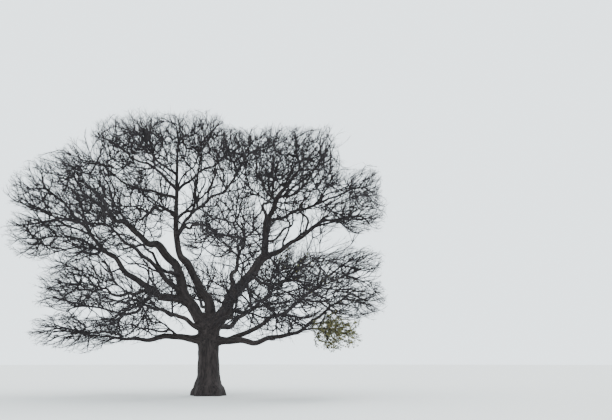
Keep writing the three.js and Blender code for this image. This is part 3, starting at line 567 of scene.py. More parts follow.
class HackberryBark(bpy.types.PropertyGroup):
    """The skin of the trunk and boughs."""

    cell: FloatProperty(
        name="Skin cell", description="Size of the faces of the skin over the thick limbs",
        default=0.034, min=0.01, unit="LENGTH")
    flutes: FloatProperty(
        name="Flutes", description="Depth of the long hollows in the wood, as a share of its radius",
        default=0.1, min=0, subtype="FACTOR")
    wrinkles: FloatProperty(
        name="Wrinkles", description="Depth of the wrinkles in the bark",
        default=0.012, min=0, unit="LENGTH")
    warts: FloatProperty(
        name="Warts", description="Corky warts on each square metre of the skin",
        default=14, min=0)
    wart_size: FloatProperty(
        name="Wart size", description="Radius of a middling wart",
        default=0.02, min=0.005, unit="LENGTH")
    # Painted shade: the bark colours are darker and bluer than real hackberry bark, which is light grey
    # to grey-brown, so that the tree looks as if it stood in shade against the light
    old: FloatVectorProperty(
        name="Old bark", description="Colour of the bark on the trunk and thick limbs",
        default=linear("#36302f"), size=3, subtype="COLOR")
    # Partly painted shade: this colour darkens the hollows of the bark's bump, and tints the corky warts
    furrow_and_shade: FloatVectorProperty(
        name="Furrows", description="Colour of the hollows in the bark",
        default=linear("#1b1819"), size=3, subtype="COLOR")
    young: FloatVectorProperty(
        name="Young bark", description="Colour of the smoother bark further out",
        default=linear("#332e2f"), size=3, subtype="COLOR")


class HackberryTwigs(bpy.types.PropertyGroup):
    """The twigs of the masses and of the side boughs."""

    cell: FloatProperty(
        name="Fine cell", description="One fine twig tip grows in each cell of this size",
        default=FINE.cell, min=0.15, unit="LENGTH")
    thinnest: FloatProperty(
        name="Thinnest", description="Radius of a twig near its tip",
        default=0.0052, min=0.001, unit="LENGTH")
    # Painted shade: the twig colours are darkened and cooled like the bark's, so that the crown looks as
    # if it stood in shade against the light
    fine: FloatVectorProperty(
        name="Fine twigs", description="Colour of the finest twigs",
        default=linear("#2b2729"), size=3, subtype="COLOR")
    colour: FloatVectorProperty(
        name="Branches", description="Colour of the thin branches that carry the twigs",
        default=linear("#332e30"), size=3, subtype="COLOR")
    shade: FloatVectorProperty(
        name="Branch shade", description="Darker colour that is mixed into the thin branches",
        default=linear("#221f21"), size=3, subtype="COLOR")


class HackberryLeaves(bpy.types.PropertyGroup):
    """The last leaves."""

    length: FloatProperty(
        name="Length", description="Length of a leaf blade",
        default=0.1, min=0.02, unit="LENGTH")
    width: FloatProperty(
        name="Width", description="Width of a leaf blade",
        default=0.055, min=0.01, unit="LENGTH")
    count: IntProperty(
        name="Leaves", description="Leaves on the lowest right-hand twigs",
        default=3000, min=0)
    specks: IntProperty(
        name="Specks", description="Single leaves elsewhere in the lower right of the crown",
        default=150, min=0)
    olive: FloatVectorProperty(
        name="Olive", description="Colour of the leaves that are still dull green",
        default=linear("#60613c"), size=3, subtype="COLOR")
    yellow: FloatVectorProperty(
        name="Yellow", description="Colour of the leaves that have turned",
        default=linear("#857f4c"), size=3, subtype="COLOR")
    brown: FloatVectorProperty(
        name="Brown", description="Colour of the dry leaves",
        default=linear("#5a4c38"), size=3, subtype="COLOR")


class HackberryStage(bpy.types.PropertyGroup):
    """The floor, the light and the camera."""

    floor: FloatVectorProperty(
        name="Floor", description="Colour of the plain floor",
        default=linear("#d9d9d6"), size=3, subtype="COLOR")
    colour: FloatVectorProperty(
        name="Surround", description="Colour of the plain surround",
        default=linear("#e3edf2"), size=3, subtype="COLOR")
    surround: FloatProperty(
        name="Surround strength", description="Strength of the light from all round",
        default=3.0, min=0)
    key: FloatProperty(
        name="Key strength", description="Strength of the soft key light",
        default=1.6, min=0)


# Vectors and random numbers


def unit(vectors):
    """Vectors along the last axis, each made one long."""
    lengths = np.sqrt((vectors * vectors).sum(axis=-1, keepdims=True))
    return vectors / np.maximum(lengths, 1e-9)


def seeded_random(seed):
    """Even numbers from 0 to 1 in an order that a seed fixes, the same as in the solids."""
    whole = 0xFFFFFFFF
    state = seed & whole

    def draw():
        nonlocal state
        state = (state + 0x6D2B79F5) & whole
        mixed = ((state ^ (state >> 15)) * (state | 1)) & whole
        mixed ^= (mixed + (mixed ^ (mixed >> 7)) * (mixed | 61)) & whole
        return (mixed ^ (mixed >> 14)) / (whole + 1)

    return draw


def direction(heading, rise):
    """The unit vector at a heading round +Z and a rise above the level, in radians."""
    level = math.cos(rise)
    return np.array((level * math.cos(heading), level * math.sin(heading), math.sin(rise)))


def heading_between(start, end):
    """The heading round +Z from one place to another, in radians."""
    return math.atan2(end[1] - start[1], end[0] - start[0])


# The limbs: the trunk and the boughs


def trunk_centre(height):
    """The trunk's middle at a height. It leans a little."""
    return np.array((TRUNK_LEAN * height / TRUNK_HEIGHT, 0, height))


def trunk_radius(height, around):
    """The trunk's radius, with buttress ridges at its foot and a rounded top."""
    flare = math.exp(-(height / FLARE_HEIGHT) ** 2)
    ridge = np.cos(ROOT_RIDGES * (around - RIDGE_FACING)) + OVAL * np.cos(2 * (around + OVAL_FACING))
    rising = min(1, max(0, height / FORK_SHOULDER))
    rounding = min(1, max(0, (height - FORK_SHOULDER) / (TRUNK_HEIGHT - FORK_SHOULDER)))
    full = TRUNK_RADIUS + TRUNK_SWELL * rising ** 4 + flare * (FLARE + RIDGE_DEPTH * ridge)
    return FORK_RADIUS + (full - FORK_RADIUS) * math.sqrt(1 - rounding ** 2)


class Limb:
    """A bough's middle line and radius, laid out from its parent by the rule of the solids."""

    def __init__(self, bough, index, limbs):
        parent = limbs[bough.parent]
        self.bough = bough
        self.name = bough.name
        self.stops = [parent.point_at(bough.along)]
        self.stops += [np.array(place, float) for place in (*bough.by, bough.tip)]
        self.runs = [np.linalg.norm(b - a) for a, b in zip(self.stops, self.stops[1:])]
        self.total = sum(self.runs)
        self.slopes = [self.slope(i) for i in range(len(self.stops))]
        random = seeded_random(BOUGH_SEED + BOUGH_SEED_STEP * index)
        self.phases = [random() * 2 * math.pi for _ in range(4)]
        self.wander = (WANDER if bough.centre else INNER_WANDER) * self.total
        self.side = direction(heading_between(self.stops[0], self.stops[-1]) + math.pi / 2, 0)
        self.sunk = parent.radius_at(bough.along)
        self.collar = min(COLLAR, COLLAR_LIMIT * self.sunk / bough.foot - 1)
        count = max(3, int(self.total / RING_SPACING + 0.5))
        self.rings = [(i / count) ** RING_CROWDING for i in range(count + 1)]
        self.points = np.array([self.point_at(t) for t in self.rings])
        self.radii = [self.radius_at(t) for t in self.rings[:-1]]

    def slope(self, i):
        """The direction in which the middle line passes one of its stops."""
        last = len(self.stops) - 1
        before = self.stops[max(i - 1, 0)]
        after = self.stops[min(i + 1, last)]
        if 0 < i < last:
            return unit(after - before)
        rise = self.bough.arrive if i else self.bough.leave
        return direction(heading_between(before, after), math.radians(rise))

    def bend(self, turned, phase):
        """A slow wave and a quicker one."""
        quick = math.sin(turned * QUICK_BENDS + self.phases[phase + 1])
        return math.sin(turned + self.phases[phase]) + QUICK_SHARE * quick

    def point_at(self, t):
        """A place on the middle line: a smooth curve through the stops, and the limb's wander."""
        travelled = t * self.total
        run = 0
        before = 0
        while run < len(self.runs) - 1 and travelled > before + self.runs[run]:
            before += self.runs[run]
            run += 1
        length = self.runs[run]
        u = min(1, (travelled - before) / length)
        place = self.stops[run] * (2 * u ** 3 - 3 * u ** 2 + 1)
        place = place + self.slopes[run] * length * (u ** 3 - 2 * u ** 2 + u)
        place = place + self.stops[run + 1] * (3 * u ** 2 - 2 * u ** 3)
        place = place + self.slopes[run + 1] * length * (u ** 3 - u ** 2)
        size = self.wander * min(1, t / WANDER_FADE) * min(1, (1 - t) / WANDER_FADE)
        slow = travelled * 2 * math.pi / WANDER_LENGTH
        place = place + UP * size * self.bend(slow, 0)
        return place + self.side * size * self.bend(slow * SWING_PACE, 2)

    def radius_at(self, t):
        """An even taper, with a collar where the bough leaves its parent."""
        travelled = t * self.total
        taper = self.bough.foot + (self.bough.end - self.bough.foot) * t
        outside = max(0, travelled - self.sunk)
        return taper * (1 + self.collar * math.exp(-outside / (COLLAR_LENGTH * self.bough.foot)))


class Trunk:
    """The trunk's middle line, in the same words as a bough's. Twigs keep clear of it as if it were
    as wide as its foot all the way up."""

    name = "trunk"
    total = TRUNK_HEIGHT
    points = np.array([trunk_centre(height) for height in TRUNK_LEVELS])
    radii = [TRUNK_RADIUS + FLARE] * (len(TRUNK_LEVELS) - 1)

    def point_at(self, t):
        """A place on the middle line."""
        return trunk_centre(t * TRUNK_HEIGHT)

    def radius_at(self, t):
        """The plain radius, without the flare and the ridges."""
        return TRUNK_RADIUS


def lay_out_limbs():
    """The trunk and every bough, by name."""
    limbs = {"trunk": Trunk()}
    for index, bough in enumerate(BOUGHS + INNER_BOUGHS):
        limbs[bough.name] = Limb(bough, index, limbs)
    return limbs


def segments_of(limbs):
    """The stretches between the rings of limbs: their starts, spans and radii."""
    starts = np.concatenate([limb.points[:-1] for limb in limbs])
    spans = np.concatenate([limb.points[1:] for limb in limbs]) - starts
    return starts, spans, np.concatenate([limb.radii for limb in limbs])


LIMBS = lay_out_limbs()
ALL_SEGMENTS = segments_of(LIMBS.values())
SOLID_SEGMENTS = segments_of(list(LIMBS.values())[:1 + len(BOUGHS)])


# Where twigs may grow


def depths_in_masses(places):
    """How deep places lie in each mass: 0 at its centre and 1 at its edge."""
    offsets = (places[:, None, :] - CENTRES) / REACHES
    return np.sqrt((offsets * offsets).sum(axis=2))


def in_own_space(index, places, rule):
    """Which places lie in the space of a mass, and deeper in it than in any other."""
    depths = depths_in_masses(places)
    own = depths[:, index].copy()
    depths[:, index] = np.inf
    return (own < rule.edge) & (depths.min(axis=1) > own + rule.margin)


def within_crown(places):
    """Which places have a mass of twigs further out than they are."""
    inside = np.zeros(len(places), bool)
    for share in FURTHER_OUT:
        further = CROWN_FOOT + share * (places - CROWN_FOOT)
        inside |= (depths_in_masses(further) < LARGER_MASS).any(axis=1)
    return inside


def in_reach(places):
    """Which places the solids reach, or all but reach."""
    low, high = (np.array(corner) for corner in SOLID_BOUNDS)
    return ((places > low - REACH_SLACK) & (places < high + REACH_SLACK)).all(axis=1)


def near_segments(centre, reach):
    """The stretches of the solids' limbs that come near a space."""
    starts, spans, radii = SOLID_SEGMENTS
    lengths = np.sqrt((spans * spans).sum(axis=1))
    near = np.sqrt(((starts + spans / 2 - centre) ** 2).sum(axis=1)) - lengths / 2 - radii < reach
    return starts[near], spans[near], radii[near]


def clear_of_limbs(segments, places, clearance):
    """Which places keep clear of every limb."""
    starts, spans, radii = segments
    squares = (spans * spans).sum(axis=1)
    clear = []
    for part in np.array_split(places, len(places) // PLACES_AT_ONCE + 1):
        offsets = part[:, None, :] - starts
        along = np.clip((offsets * spans).sum(axis=2) / squares, 0, 1)
        gaps = offsets - spans * along[:, :, None]
        distances = np.sqrt((gaps * gaps).sum(axis=2))
        clear.append((distances > radii + clearance).all(axis=1))
    return np.concatenate(clear)


def in_windows(places, random):
    """Which places lie in one of the viewer's windows. The windows have uneven edges."""
    share = VIEWER[1] / (VIEWER[1] - places[:, 1])
    seen = VIEWER + (places - VIEWER) * share[:, None]
    edges, draws = np.array([random() for _ in range(2 * len(places))]).reshape(2, -1)
    edges = 1 + WINDOW_EDGE * (2 * edges - 1)
    inside = np.zeros(len(places), bool)
    for x, z, half_width, half_height, left_out in WINDOWS:
        within = np.hypot((seen[:, 0] - x) / half_width, (seen[:, 2] - z) / half_height) < edges
        inside |= within & (draws < left_out)
    return inside


def in_light(places, rule, random):
    """Which places are kept: all of them near the crown's surface, and fewer deep in the shade."""
    offsets = places - CROWN_MIDDLE
    depths = np.linalg.norm(offsets / np.where(offsets[:, 2:] > 0, CROWN_RISE, CROWN_DROP), axis=1)
    light = np.clip((depths - SHADED_FROM) / (LIT_FROM - SHADED_FROM), 0, 1)
    draws = np.array([random() for _ in range(len(places))])
    return draws < rule.shade + (1 - rule.shade) * light


def scatter(low, high, cell, random):
    """One place in each cell of a grid over a box, at random in its cell."""
    low, high = np.array(low), np.array(high)
    counts = [int(side / cell + 0.5) for side in high - low]
    draws = np.array([random() for _ in range(3 * counts[0] * counts[1] * counts[2])]).reshape(-1, 3)
    order = np.arange(len(draws))
    cells = (order % counts[0], order // counts[0] % counts[1], order // (counts[0] * counts[1]))
    return low + (high - low) * (np.stack(cells, axis=1) + draws) / counts


# Twigs that grow by the rule of the solids, and on to finer ones


def widest_axis(targets, middle):
    """The direction of the longest way across a group of targets, near enough."""
    end = targets[((targets - middle) ** 2).sum(axis=1).argmax()]
    other = targets[((targets - end) ** 2).sum(axis=1).argmax()]
    return unit(other - end)


def as_seen(targets, eye):
    """Targets placed by the direction in which an eye sees them, and a little by their distance."""
    rays = targets - eye
    away = np.sqrt((rays * rays).sum(axis=1, keepdims=True))
    return rays * (DISTANCE_SHARE + away.mean() / np.maximum(away, 1e-6))


def divide(targets, spread, random):
    """Two groups of targets, cut across the longest way of their spread."""
    order = np.argsort(spread @ widest_axis(spread, spread.mean(axis=0)), kind="stable")
    share = 0.5 + DIVIDE_SWING * (2 * random() - 1)
    cut = min(max(int(share * len(order) + 0.5), 1), len(order) - 1)
    return targets[order[:cut]], targets[order[cut:]]


class Skeleton:
    """The joints of twigs: their places, headings and parents. Twigs grow from one or more roots."""

    def __init__(self, roots, allowed):
        self.places = [place for place, _, _ in roots]
        self.aheads = [ahead for _, ahead, _ in roots]
        self.stubs = [stub for _, _, stub in roots]
        self.parents = [-1] * len(roots)
        self.roots = len(roots)
        self.allowed = allowed

    def start_shoot(self, index, targets):
        """The joint from which a shoot serves targets. One from a root first leaves its limb."""
        if index >= self.roots:
            return index
        straight = unit(targets.mean(axis=0) - self.places[index])
        ahead = unit(straight + SHOOT_LEAN * self.aheads[index])
        return self.join(index, self.places[index] + self.stubs[index] * ahead, ahead)

    def join(self, parent, place, ahead):
        """Adds a joint and gives its number."""
        self.places.append(place)
        self.parents.append(parent)
        self.aheads.append(ahead)
        return len(self.places) - 1

    def grow(self, index, ahead, length, rule):
        """Adds a twig, unless it would leave the space or touch a limb."""
        start = self.places[index]
        if rule.tested:
            tests = max(1, math.ceil(length / TEST_SPACING))
            shares = np.arange(1, tests + 1)[:, None] / tests
            if not self.allowed(start + ahead * length * shares, rule).all():
                return -1
        return self.join(index, start + ahead * length, ahead)

    def serve(self, index, targets, rule, random):
        """Heads for the middle of the targets, stops part of the way and divides them in two."""
        place = self.places[index]
        middle = targets.mean(axis=0)
        straight = middle - place
        off = math.sqrt(straight @ straight)
        straight = straight / max(off, 1e-9)
        if len(targets) == 1:
            self.grow(index, unit(straight + rule.last * self.aheads[index]), off, rule)
            return
        ahead = unit(straight + rule.turn * self.aheads[index])
        length = min(max(off * rule.share, rule.shortest), rule.longest)
        following = self.grow(index, ahead, length, rule)
        if following < 0:
            following = self.grow(index, straight, length, rule)
        if following < 0:
            following = index
        spread = as_seen(targets, self.places[following]) if rule.fans else targets
        for part in divide(targets, spread, random):
            self.serve(following, part, rule, random)

    def add_joints(self, spacing):
        """Puts joints along each long twig, from which finer twigs can leave."""
        for index in range(self.roots, len(self.parents)):
            parent = self.parents[index]
            if parent < self.roots:
                continue
            start = self.places[parent]
            span = self.places[index] - start
            pieces = int(math.sqrt(span @ span) / spacing)
            for i in range(1, pieces):
                parent = self.join(parent, start + span * i / pieces, self.aheads[index])
            self.parents[index] = parent

    def carry_finer(self, targets, rule, random, first=1):
        """Serves more targets, each group of them from the joint that leads nearest to them."""
        places = np.array(self.places)
        outward = unit(places - CROWN_FOOT)
        leads = places + rule.lead * unit(np.array(self.aheads) + OUTWARD_PULL * outward)
        tree = kdtree.KDTree(len(places))
        for index in range(first, len(places)):
            tree.insert(Vector(leads[index]), index)
        tree.balance()
        targets = targets[in_light(targets, rule, random)]
        targets = targets[~in_windows(targets, random)]
        nearest = [tree.find(Vector(target))[1:] for target in targets]
        rows = np.flatnonzero([away < rule.farthest for _, away in nearest])
        rows = rows[self.allowed(targets[rows], rule)]
        groups = {}
        for row in sorted(rows, key=lambda row: nearest[row][1]):
            groups.setdefault(nearest[row][0], []).append(row)
        for index in sorted(groups):
            group = targets[groups[index][:rule.most]]
            shoots = (group,)
            if len(group) > rule.crowd:
                shoots = divide(group, as_seen(group, self.places[index]), random)
            for part in shoots:
                self.serve(self.start_shoot(index, part), part, rule, random)

    def bend(self):
        """Gives every twig its bends, which fade away towards its root."""
        order = order_from_roots(self.parents)
        away = np.zeros(len(order))
        places = np.array(self.places)
        for index in order[self.roots:]:
            parent = self.parents[index]
            span = places[index] - places[parent]
            away[index] = away[parent] + math.sqrt(span @ span)
        faded = np.minimum(1, away / BEND_FADE)[:, None]
        moved = places
        for length, size in BENDS:
            moved = moved + size * faded * np.sin(places @ BEND_MIX * (2 * math.pi / length))
        self.places = list(moved)


def children_of(parents):
    """The joints that follow each joint."""
    children = [[] for _ in parents]
    for index, parent in enumerate(parents):
        if parent >= 0:
            children[parent].append(index)
    return children


def order_from_roots(parents):
    """Joints in an order in which each comes after its parent."""
    children = children_of(parents)
    order = [index for index, parent in enumerate(parents) if parent < 0]
    for index in order:
        order.extend(children[index])
    return order


def tips_carried(parents):
    """How many tips each joint carries."""
    tips = [1] * len(parents)
    for parent in parents:
        if parent >= 0:
            tips[parent] = 0
    for index in reversed(order_from_roots(parents)):
        if parents[index] >= 0:
            tips[parents[index]] += tips[index]
    return tips


def without_straight(run, places):
    """The joints of a run, less those at which it goes on all but straight."""
    kept = [run[0]]
    for index, following in zip(run[1:], run[2:]):
        ahead = unit(places[following] - places[kept[-1]])
        aside = places[index] - places[kept[-1]]
        aside = aside - ahead * (aside @ ahead)
        if aside @ aside > STRAIGHT ** 2:
            kept.append(index)
    return kept + run[-1:]


def twig_lines(skeleton, radii, tips):
    """The places and radii along every twig. At a fork the child with the most tips carries on,
    and each of the others starts a line."""
    places = np.array(skeleton.places)
    children = children_of(skeleton.parents)
    starts = [[index] for index in range(skeleton.roots)]
    lines = []
    while starts:
        run = starts.pop()
        index = run[-1]
        while children[index]:
            following, *others = sorted(children[index], key=lambda child: -tips[child])
            starts.extend([index, other] for other in others)
            run.append(following)
            index = following
        if len(run) < 2:
            continue
        run = without_straight(run, places)
        run_radii = radii[run].copy()
        run_radii[0] = min(run_radii[0], ROOT_TAPER * run_radii[1])
        run_radii[-1] = TIP_RADIUS
        lines.append((places[run], run_radii))
    return lines


def grow_mass(index, bough, fine_cell):
    """The skeleton of a mass: the twigs of the solid, carried on to finer ones."""
    limb = LIMBS[bough.name]
    heading = unit(limb.points[-1] - limb.points[-2])
    start = limb.points[-1] + heading * (-bough.end if bough.joined else SEAT_GAP)
    centre, reach = np.array(bough.centre), np.array(bough.reach)
    segments = near_segments(centre, max(reach) * FINE.edge + STEM_LENGTH)

    def allowed(places, rule):
        inside = in_own_space(index, places, rule) & clear_of_limbs(segments, places, rule.clearance)
        return inside if rule is COARSE else inside & in_reach(places)

    skeleton = Skeleton([(start, heading, STEM_LENGTH)], allowed)
    skeleton.join(0, start + heading * STEM_LENGTH, heading)
    random = seeded_random(MASS_SEED + MASS_SEED_STEP * index)
    targets = scatter(centre - reach, centre + reach, bough.cell, random)
    skeleton.serve(1, targets[allowed(targets, COARSE)], COARSE, random)
    random = seeded_random(FINE_SEED + MASS_SEED_STEP * index)
    for rule, cell in ((MIDDLE, MIDDLE.cell), (FINE, fine_cell)):
        skeleton.add_joints(rule.joints)
        targets = scatter(centre - rule.edge * reach, centre + rule.edge * reach, cell, random)
        skeleton.carry_finer(targets, rule, random)
    skeleton.bend()
    return skeleton


def grow_side_boughs(coarsening):
    """The skeleton of all that grows from the boughs' sides, between the masses."""
    roots = []
    for limb in list(LIMBS.values())[1:]:
        first = SIDE_FIRST_ON_TRUNK if limb.bough.parent == "trunk" else SIDE_FIRST
        count = max(2, int((1 - first) * limb.total / SIDE_SPACING))
        for t in np.linspace(first, SIDE_LAST, count):
            ahead = unit(limb.point_at(t + HEADING_SPAN) - limb.point_at(t - HEADING_SPAN))
            roots.append((limb.point_at(t), ahead, STUB * limb.radius_at(t) + SIDE.clearance))

    def allowed(places, rule):
        between = (depths_in_masses(places) > rule.edge).all(axis=1) & (places[:, 2] > LOWEST_TWIG)
        between &= within_crown(places)
        return between & in_reach(places) & clear_of_limbs(ALL_SEGMENTS, places, rule.clearance)

    skeleton = Skeleton(roots, allowed)
    random = seeded_random(SIDE_SEED)
    skeleton.carry_finer(scatter(*CROWN_BOX, SIDE.cell, random), SIDE, random, 0)
    for rule, cell in ((SIDE_MIDDLE, SIDE_MIDDLE.cell), (SIDE_FINE, coarsening * SIDE_FINE.cell)):
        skeleton.add_joints(rule.joints)
        skeleton.carry_finer(scatter(*CROWN_BOX, cell, random), rule, random, skeleton.roots)
    skeleton.bend()
    return skeleton


# Meshes


def new_object(name, mesh):
    """An object in the scene, at the origin."""
    obj = bpy.data.objects.new(name, mesh)
    bpy.context.scene.collection.objects.link(obj)
    return obj


def points_of(mesh):
    """The places of a mesh's points."""
    points = np.empty(len(mesh.vertices) * 3, np.float32)
    mesh.vertices.foreach_get("co", points)
    return points.reshape(-1, 3).astype(float)


def keep_above_ground(mesh):
    """Brings what lies below the ground up to it."""
    points = points_of(mesh)
    points[:, 2] = np.maximum(points[:, 2], 0)
    mesh.vertices.foreach_set("co", points.astype(np.float32).ravel())
    mesh.update()


def add_attribute(mesh, name, values):
    """Stores a number or a vector at each point of a mesh."""
    values = np.asarray(values, np.float32)
    kind, field = ("FLOAT_VECTOR", "vector") if values.ndim == 2 else ("FLOAT", "value")
    mesh.attributes.new(name, kind, "POINT").data.foreach_set(field, values.ravel())


def mesh_of(name, points, face_sets):
    """A smooth-shaded mesh from arrays of points and of faces."""
    mesh = bpy.data.meshes.new(name)
    loops = np.concatenate([faces.ravel() for faces in face_sets])
    totals = np.concatenate([np.full(len(faces), faces.shape[1]) for faces in face_sets])
    mesh.vertices.add(len(points))
    mesh.vertices.foreach_set("co", points.astype(np.float32).ravel())
    mesh.loops.add(len(loops))
    mesh.loops.foreach_set("vertex_index", loops.astype(np.int32))
    mesh.polygons.add(len(totals))
    mesh.polygons.foreach_set("loop_start", (np.cumsum(totals) - totals).astype(np.int32))
    mesh.polygons.foreach_set("use_smooth", np.ones(len(totals), bool))
    mesh.update(calc_edges=True)
    return mesh


def bare_lines(name, lines):
    """An object of bare edges along lines, with the thickness at each point."""
    counts = np.array([len(places) for places, _ in lines])
    points = np.concatenate([places for places, _ in lines])
    starts = np.delete(np.arange(len(points)), np.cumsum(counts) - 1)
    mesh = bpy.data.meshes.new(name)
    mesh.vertices.add(len(points))
    mesh.vertices.foreach_set("co", points.astype(np.float32).ravel())
    mesh.edges.add(len(starts))
    mesh.edges.foreach_set("vertices", np.stack((starts, starts + 1), axis=1).astype(np.int32).ravel())
    add_attribute(mesh, "thickness", np.concatenate([radii for _, radii in lines]))
    mesh.update()
    return new_object(name, mesh)


def add_node(tree, kind, inputs=None, **settings):
    """Adds a node with its settings. An input is given a value or linked to another's output."""
    node = tree.nodes.new(kind)
    for name, value in settings.items():
        setattr(node, name, value)
    for name, value in (inputs or {}).items():
        if isinstance(value, bpy.types.NodeSocket):
            tree.links.new(value, node.inputs[name])
        else:
            node.inputs[name].default_value = value
    return node


def new_tree(name, inputs):
    """A Geometry Nodes tree with named inputs, and the node that gives their values."""
    tree = bpy.data.node_groups.new(name, "GeometryNodeTree")
    for label, kind in {"Geometry": "Geometry", **inputs, "Material": "Material"}.items():
        tree.interface.new_socket(label, in_out="INPUT", socket_type=f"NodeSocket{kind}")
    tree.interface.new_socket("Geometry", in_out="OUTPUT", socket_type="NodeSocketGeometry")
    return tree, add_node(tree, "NodeGroupInput").outputs


def end_tree(tree, geometry, material):
    """Makes a tree's instances real and gives them their material."""
    real = add_node(tree, "GeometryNodeRealizeInstances", {0: geometry})
    dressed = add_node(
        tree, "GeometryNodeSetMaterial", {"Geometry": real.outputs[0], "Material": material})
    add_node(tree, "NodeGroupOutput", {0: dressed.outputs[0]})


def bake(obj):
    """Turns what the modifiers make into a plain mesh of the object's own."""
    graph = bpy.context.evaluated_depsgraph_get()
    mesh = bpy.data.meshes.new_from_object(obj.evaluated_get(graph))
    obj.modifiers.clear()
    obj.data = mesh
    mesh.name = obj.name
    return obj


def run_tree(obj, tree, values):
    """Runs a Geometry Nodes tree over an object and keeps what it makes as the object's mesh."""
    modifier = obj.modifiers.new(tree.name, "NODES")
    modifier.node_group = tree
    for socket in tree.interface.items_tree:
        if socket.in_out == "INPUT" and socket.name in values:
            modifier[socket.identifier] = values[socket.name]
    return bake(obj)


def round_limbs_tree():
    """Geometry Nodes that turn bare lines into closed round limbs of the lines' thickness."""
    tree, given = new_tree("Round limbs", {"Sides": "Int"})
    thickness = add_node(
        tree, "GeometryNodeInputNamedAttribute", {"Name": "thickness"}, data_type="FLOAT")
    lines = add_node(tree, "GeometryNodeMeshToCurve", {0: given["Geometry"]})
    section = add_node(
        tree, "GeometryNodeCurvePrimitiveCircle", {"Resolution": given["Sides"], "Radius": 1})
    limbs = add_node(
        tree, "GeometryNodeCurveToMesh",
        {"Curve": lines.outputs[0], "Profile Curve": section.outputs[0],
         "Scale": thickness.outputs[0], "Fill Caps": True})
    merged = add_node(
        tree, "GeometryNodeMergeByDistance", {"Geometry": limbs.outputs[0], "Distance": 2 * TIP_RADIUS})
    rounded = add_node(tree, "GeometryNodeSetShadeSmooth", {"Geometry": merged.outputs[0]})
    end_tree(tree, rounded.outputs[0], given["Material"])
    return tree


def round_limbs(name, lines, sides, material):
    """A piece of closed round limbs along lines."""
    tree = bpy.data.node_groups.get("Round limbs") or round_limbs_tree()
    return run_tree(bare_lines(name, lines), tree, {"Sides": sides, "Material": material})


def finish_piece(piece, slot, *nodes):
    """Says which body carries a piece and hides the solids that it stands for. Its slot is not used."""
    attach(piece, BODY)
    if nodes:
        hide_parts(*nodes)


# Materials


def new_material(name):
    """A material with a shader of its own, and that shader's tree."""
    material = bpy.data.materials.new(name)
    material.use_nodes = True
    tree = material.node_tree
    tree.nodes.clear()
    shader = add_node(tree, "ShaderNodeBsdfPrincipled")
    add_node(tree, "ShaderNodeOutputMaterial", {"Surface": shader.outputs[0]})
    return material, tree, shader


def limb_bark(name, colour, furrow_and_shade, depth):
    """Hackberry bark, weathered on the tree: dry, matt and grey-brown, with darker furrows that run along
    the limb and pale lichen-grey streaks a hand or two across. The furrows' darkness is partly painted
    shade in the bump's hollows."""
    material, tree, shader = new_material(name)
    grain = add_node(tree, "ShaderNodeAttribute", attribute_name="grain")
    along = add_node(
        tree, "ShaderNodeMapping",
        {"Vector": grain.outputs["Vector"], "Scale": (1, 1, FURROW_DRAW)})
    furrows = add_node(
        tree, "ShaderNodeTexNoise",
        {"Vector": along.outputs[0], "Scale": FURROWS, "Detail": 5, "Roughness": 0.65})
    contrast = add_node(
        tree, "ShaderNodeMapRange",
        {"Value": furrows.outputs[0], "From Min": 0.36, "From Max": 0.62})
    # Partly painted shade: the furrow colour is mixed in where the bump's height is low, in its hollows
    mixed = add_node(
        tree, "ShaderNodeMix",
        {"Factor": contrast.outputs[0], "A": (*furrow_and_shade, 1), "B": (*colour, 1)}, data_type="RGBA")
    streaks = add_node(
        tree, "ShaderNodeTexNoise",
        {"Vector": along.outputs[0], "Scale": STREAKS, "Detail": 4, "Roughness": 0.55})
    lichen = add_node(
        tree, "ShaderNodeMapRange",
        {"Value": streaks.outputs[0], "From Min": 0.5, "From Max": 0.7, "To Max": 0.5})
    pale = tuple(min(1, channel * 1.9) for channel in colour)
    finished = add_node(
        tree, "ShaderNodeMix",
        {"Factor": lichen.outputs[0], "A": mixed.outputs["Result"], "B": (*pale, 1)}, data_type="RGBA")
    bump = add_node(
        tree, "ShaderNodeBump", {"Height": furrows.outputs[0], "Strength": 0.9, "Distance": depth})
    tree.links.new(finished.outputs["Result"], shader.inputs["Base Color"])
    tree.links.new(bump.outputs[0], shader.inputs["Normal"])
    shader.inputs["Roughness"].default_value = 0.92
    shader.inputs["Specular IOR Level"].default_value = 0.25
    return material


def twig_bark(name, colour, shade):
    """Young hackberry branches: thin smooth bark that is matt, brown-grey and a little uneven."""
    material, tree, shader = new_material(name)
    place = add_node(tree, "ShaderNodeTexCoord")
    patches = add_node(
        tree, "ShaderNodeTexNoise",
        {"Vector": place.outputs["Object"], "Scale": PATCHES, "Detail": 3})
    mixed = add_node(
        tree, "ShaderNodeMix",
        {"Factor": patches.outputs[0], "A": (*shade, 1), "B": (*colour, 1)}, data_type="RGBA")
    tree.links.new(mixed.outputs["Result"], shader.inputs["Base Color"])
    shader.inputs["Roughness"].default_value = 0.85
    shader.inputs["Specular IOR Level"].default_value = 0.3
    return material


def fine_twig(name, colour):
    """The finest hackberry twigs: thin smooth skin, matt, brown-grey and all of one colour."""
    material, _, shader = new_material(name)
    shader.inputs["Base Color"].default_value = (*colour, 1)
    shader.inputs["Roughness"].default_value = 0.85
    shader.inputs["Specular IOR Level"].default_value = 0.3
    return material


def dry_leaf(name, colour):
    """A leaf at the end of its life: thin, slightly waxy, dull olive to straw. Each tint is plain,
    and the tints are dealt out over the leaves."""
    material, _, shader = new_material(name)
    shader.inputs["Base Color"].default_value = (*colour, 1)
    shader.inputs["Roughness"].default_value = 0.6
    return material


# The trunk and boughs


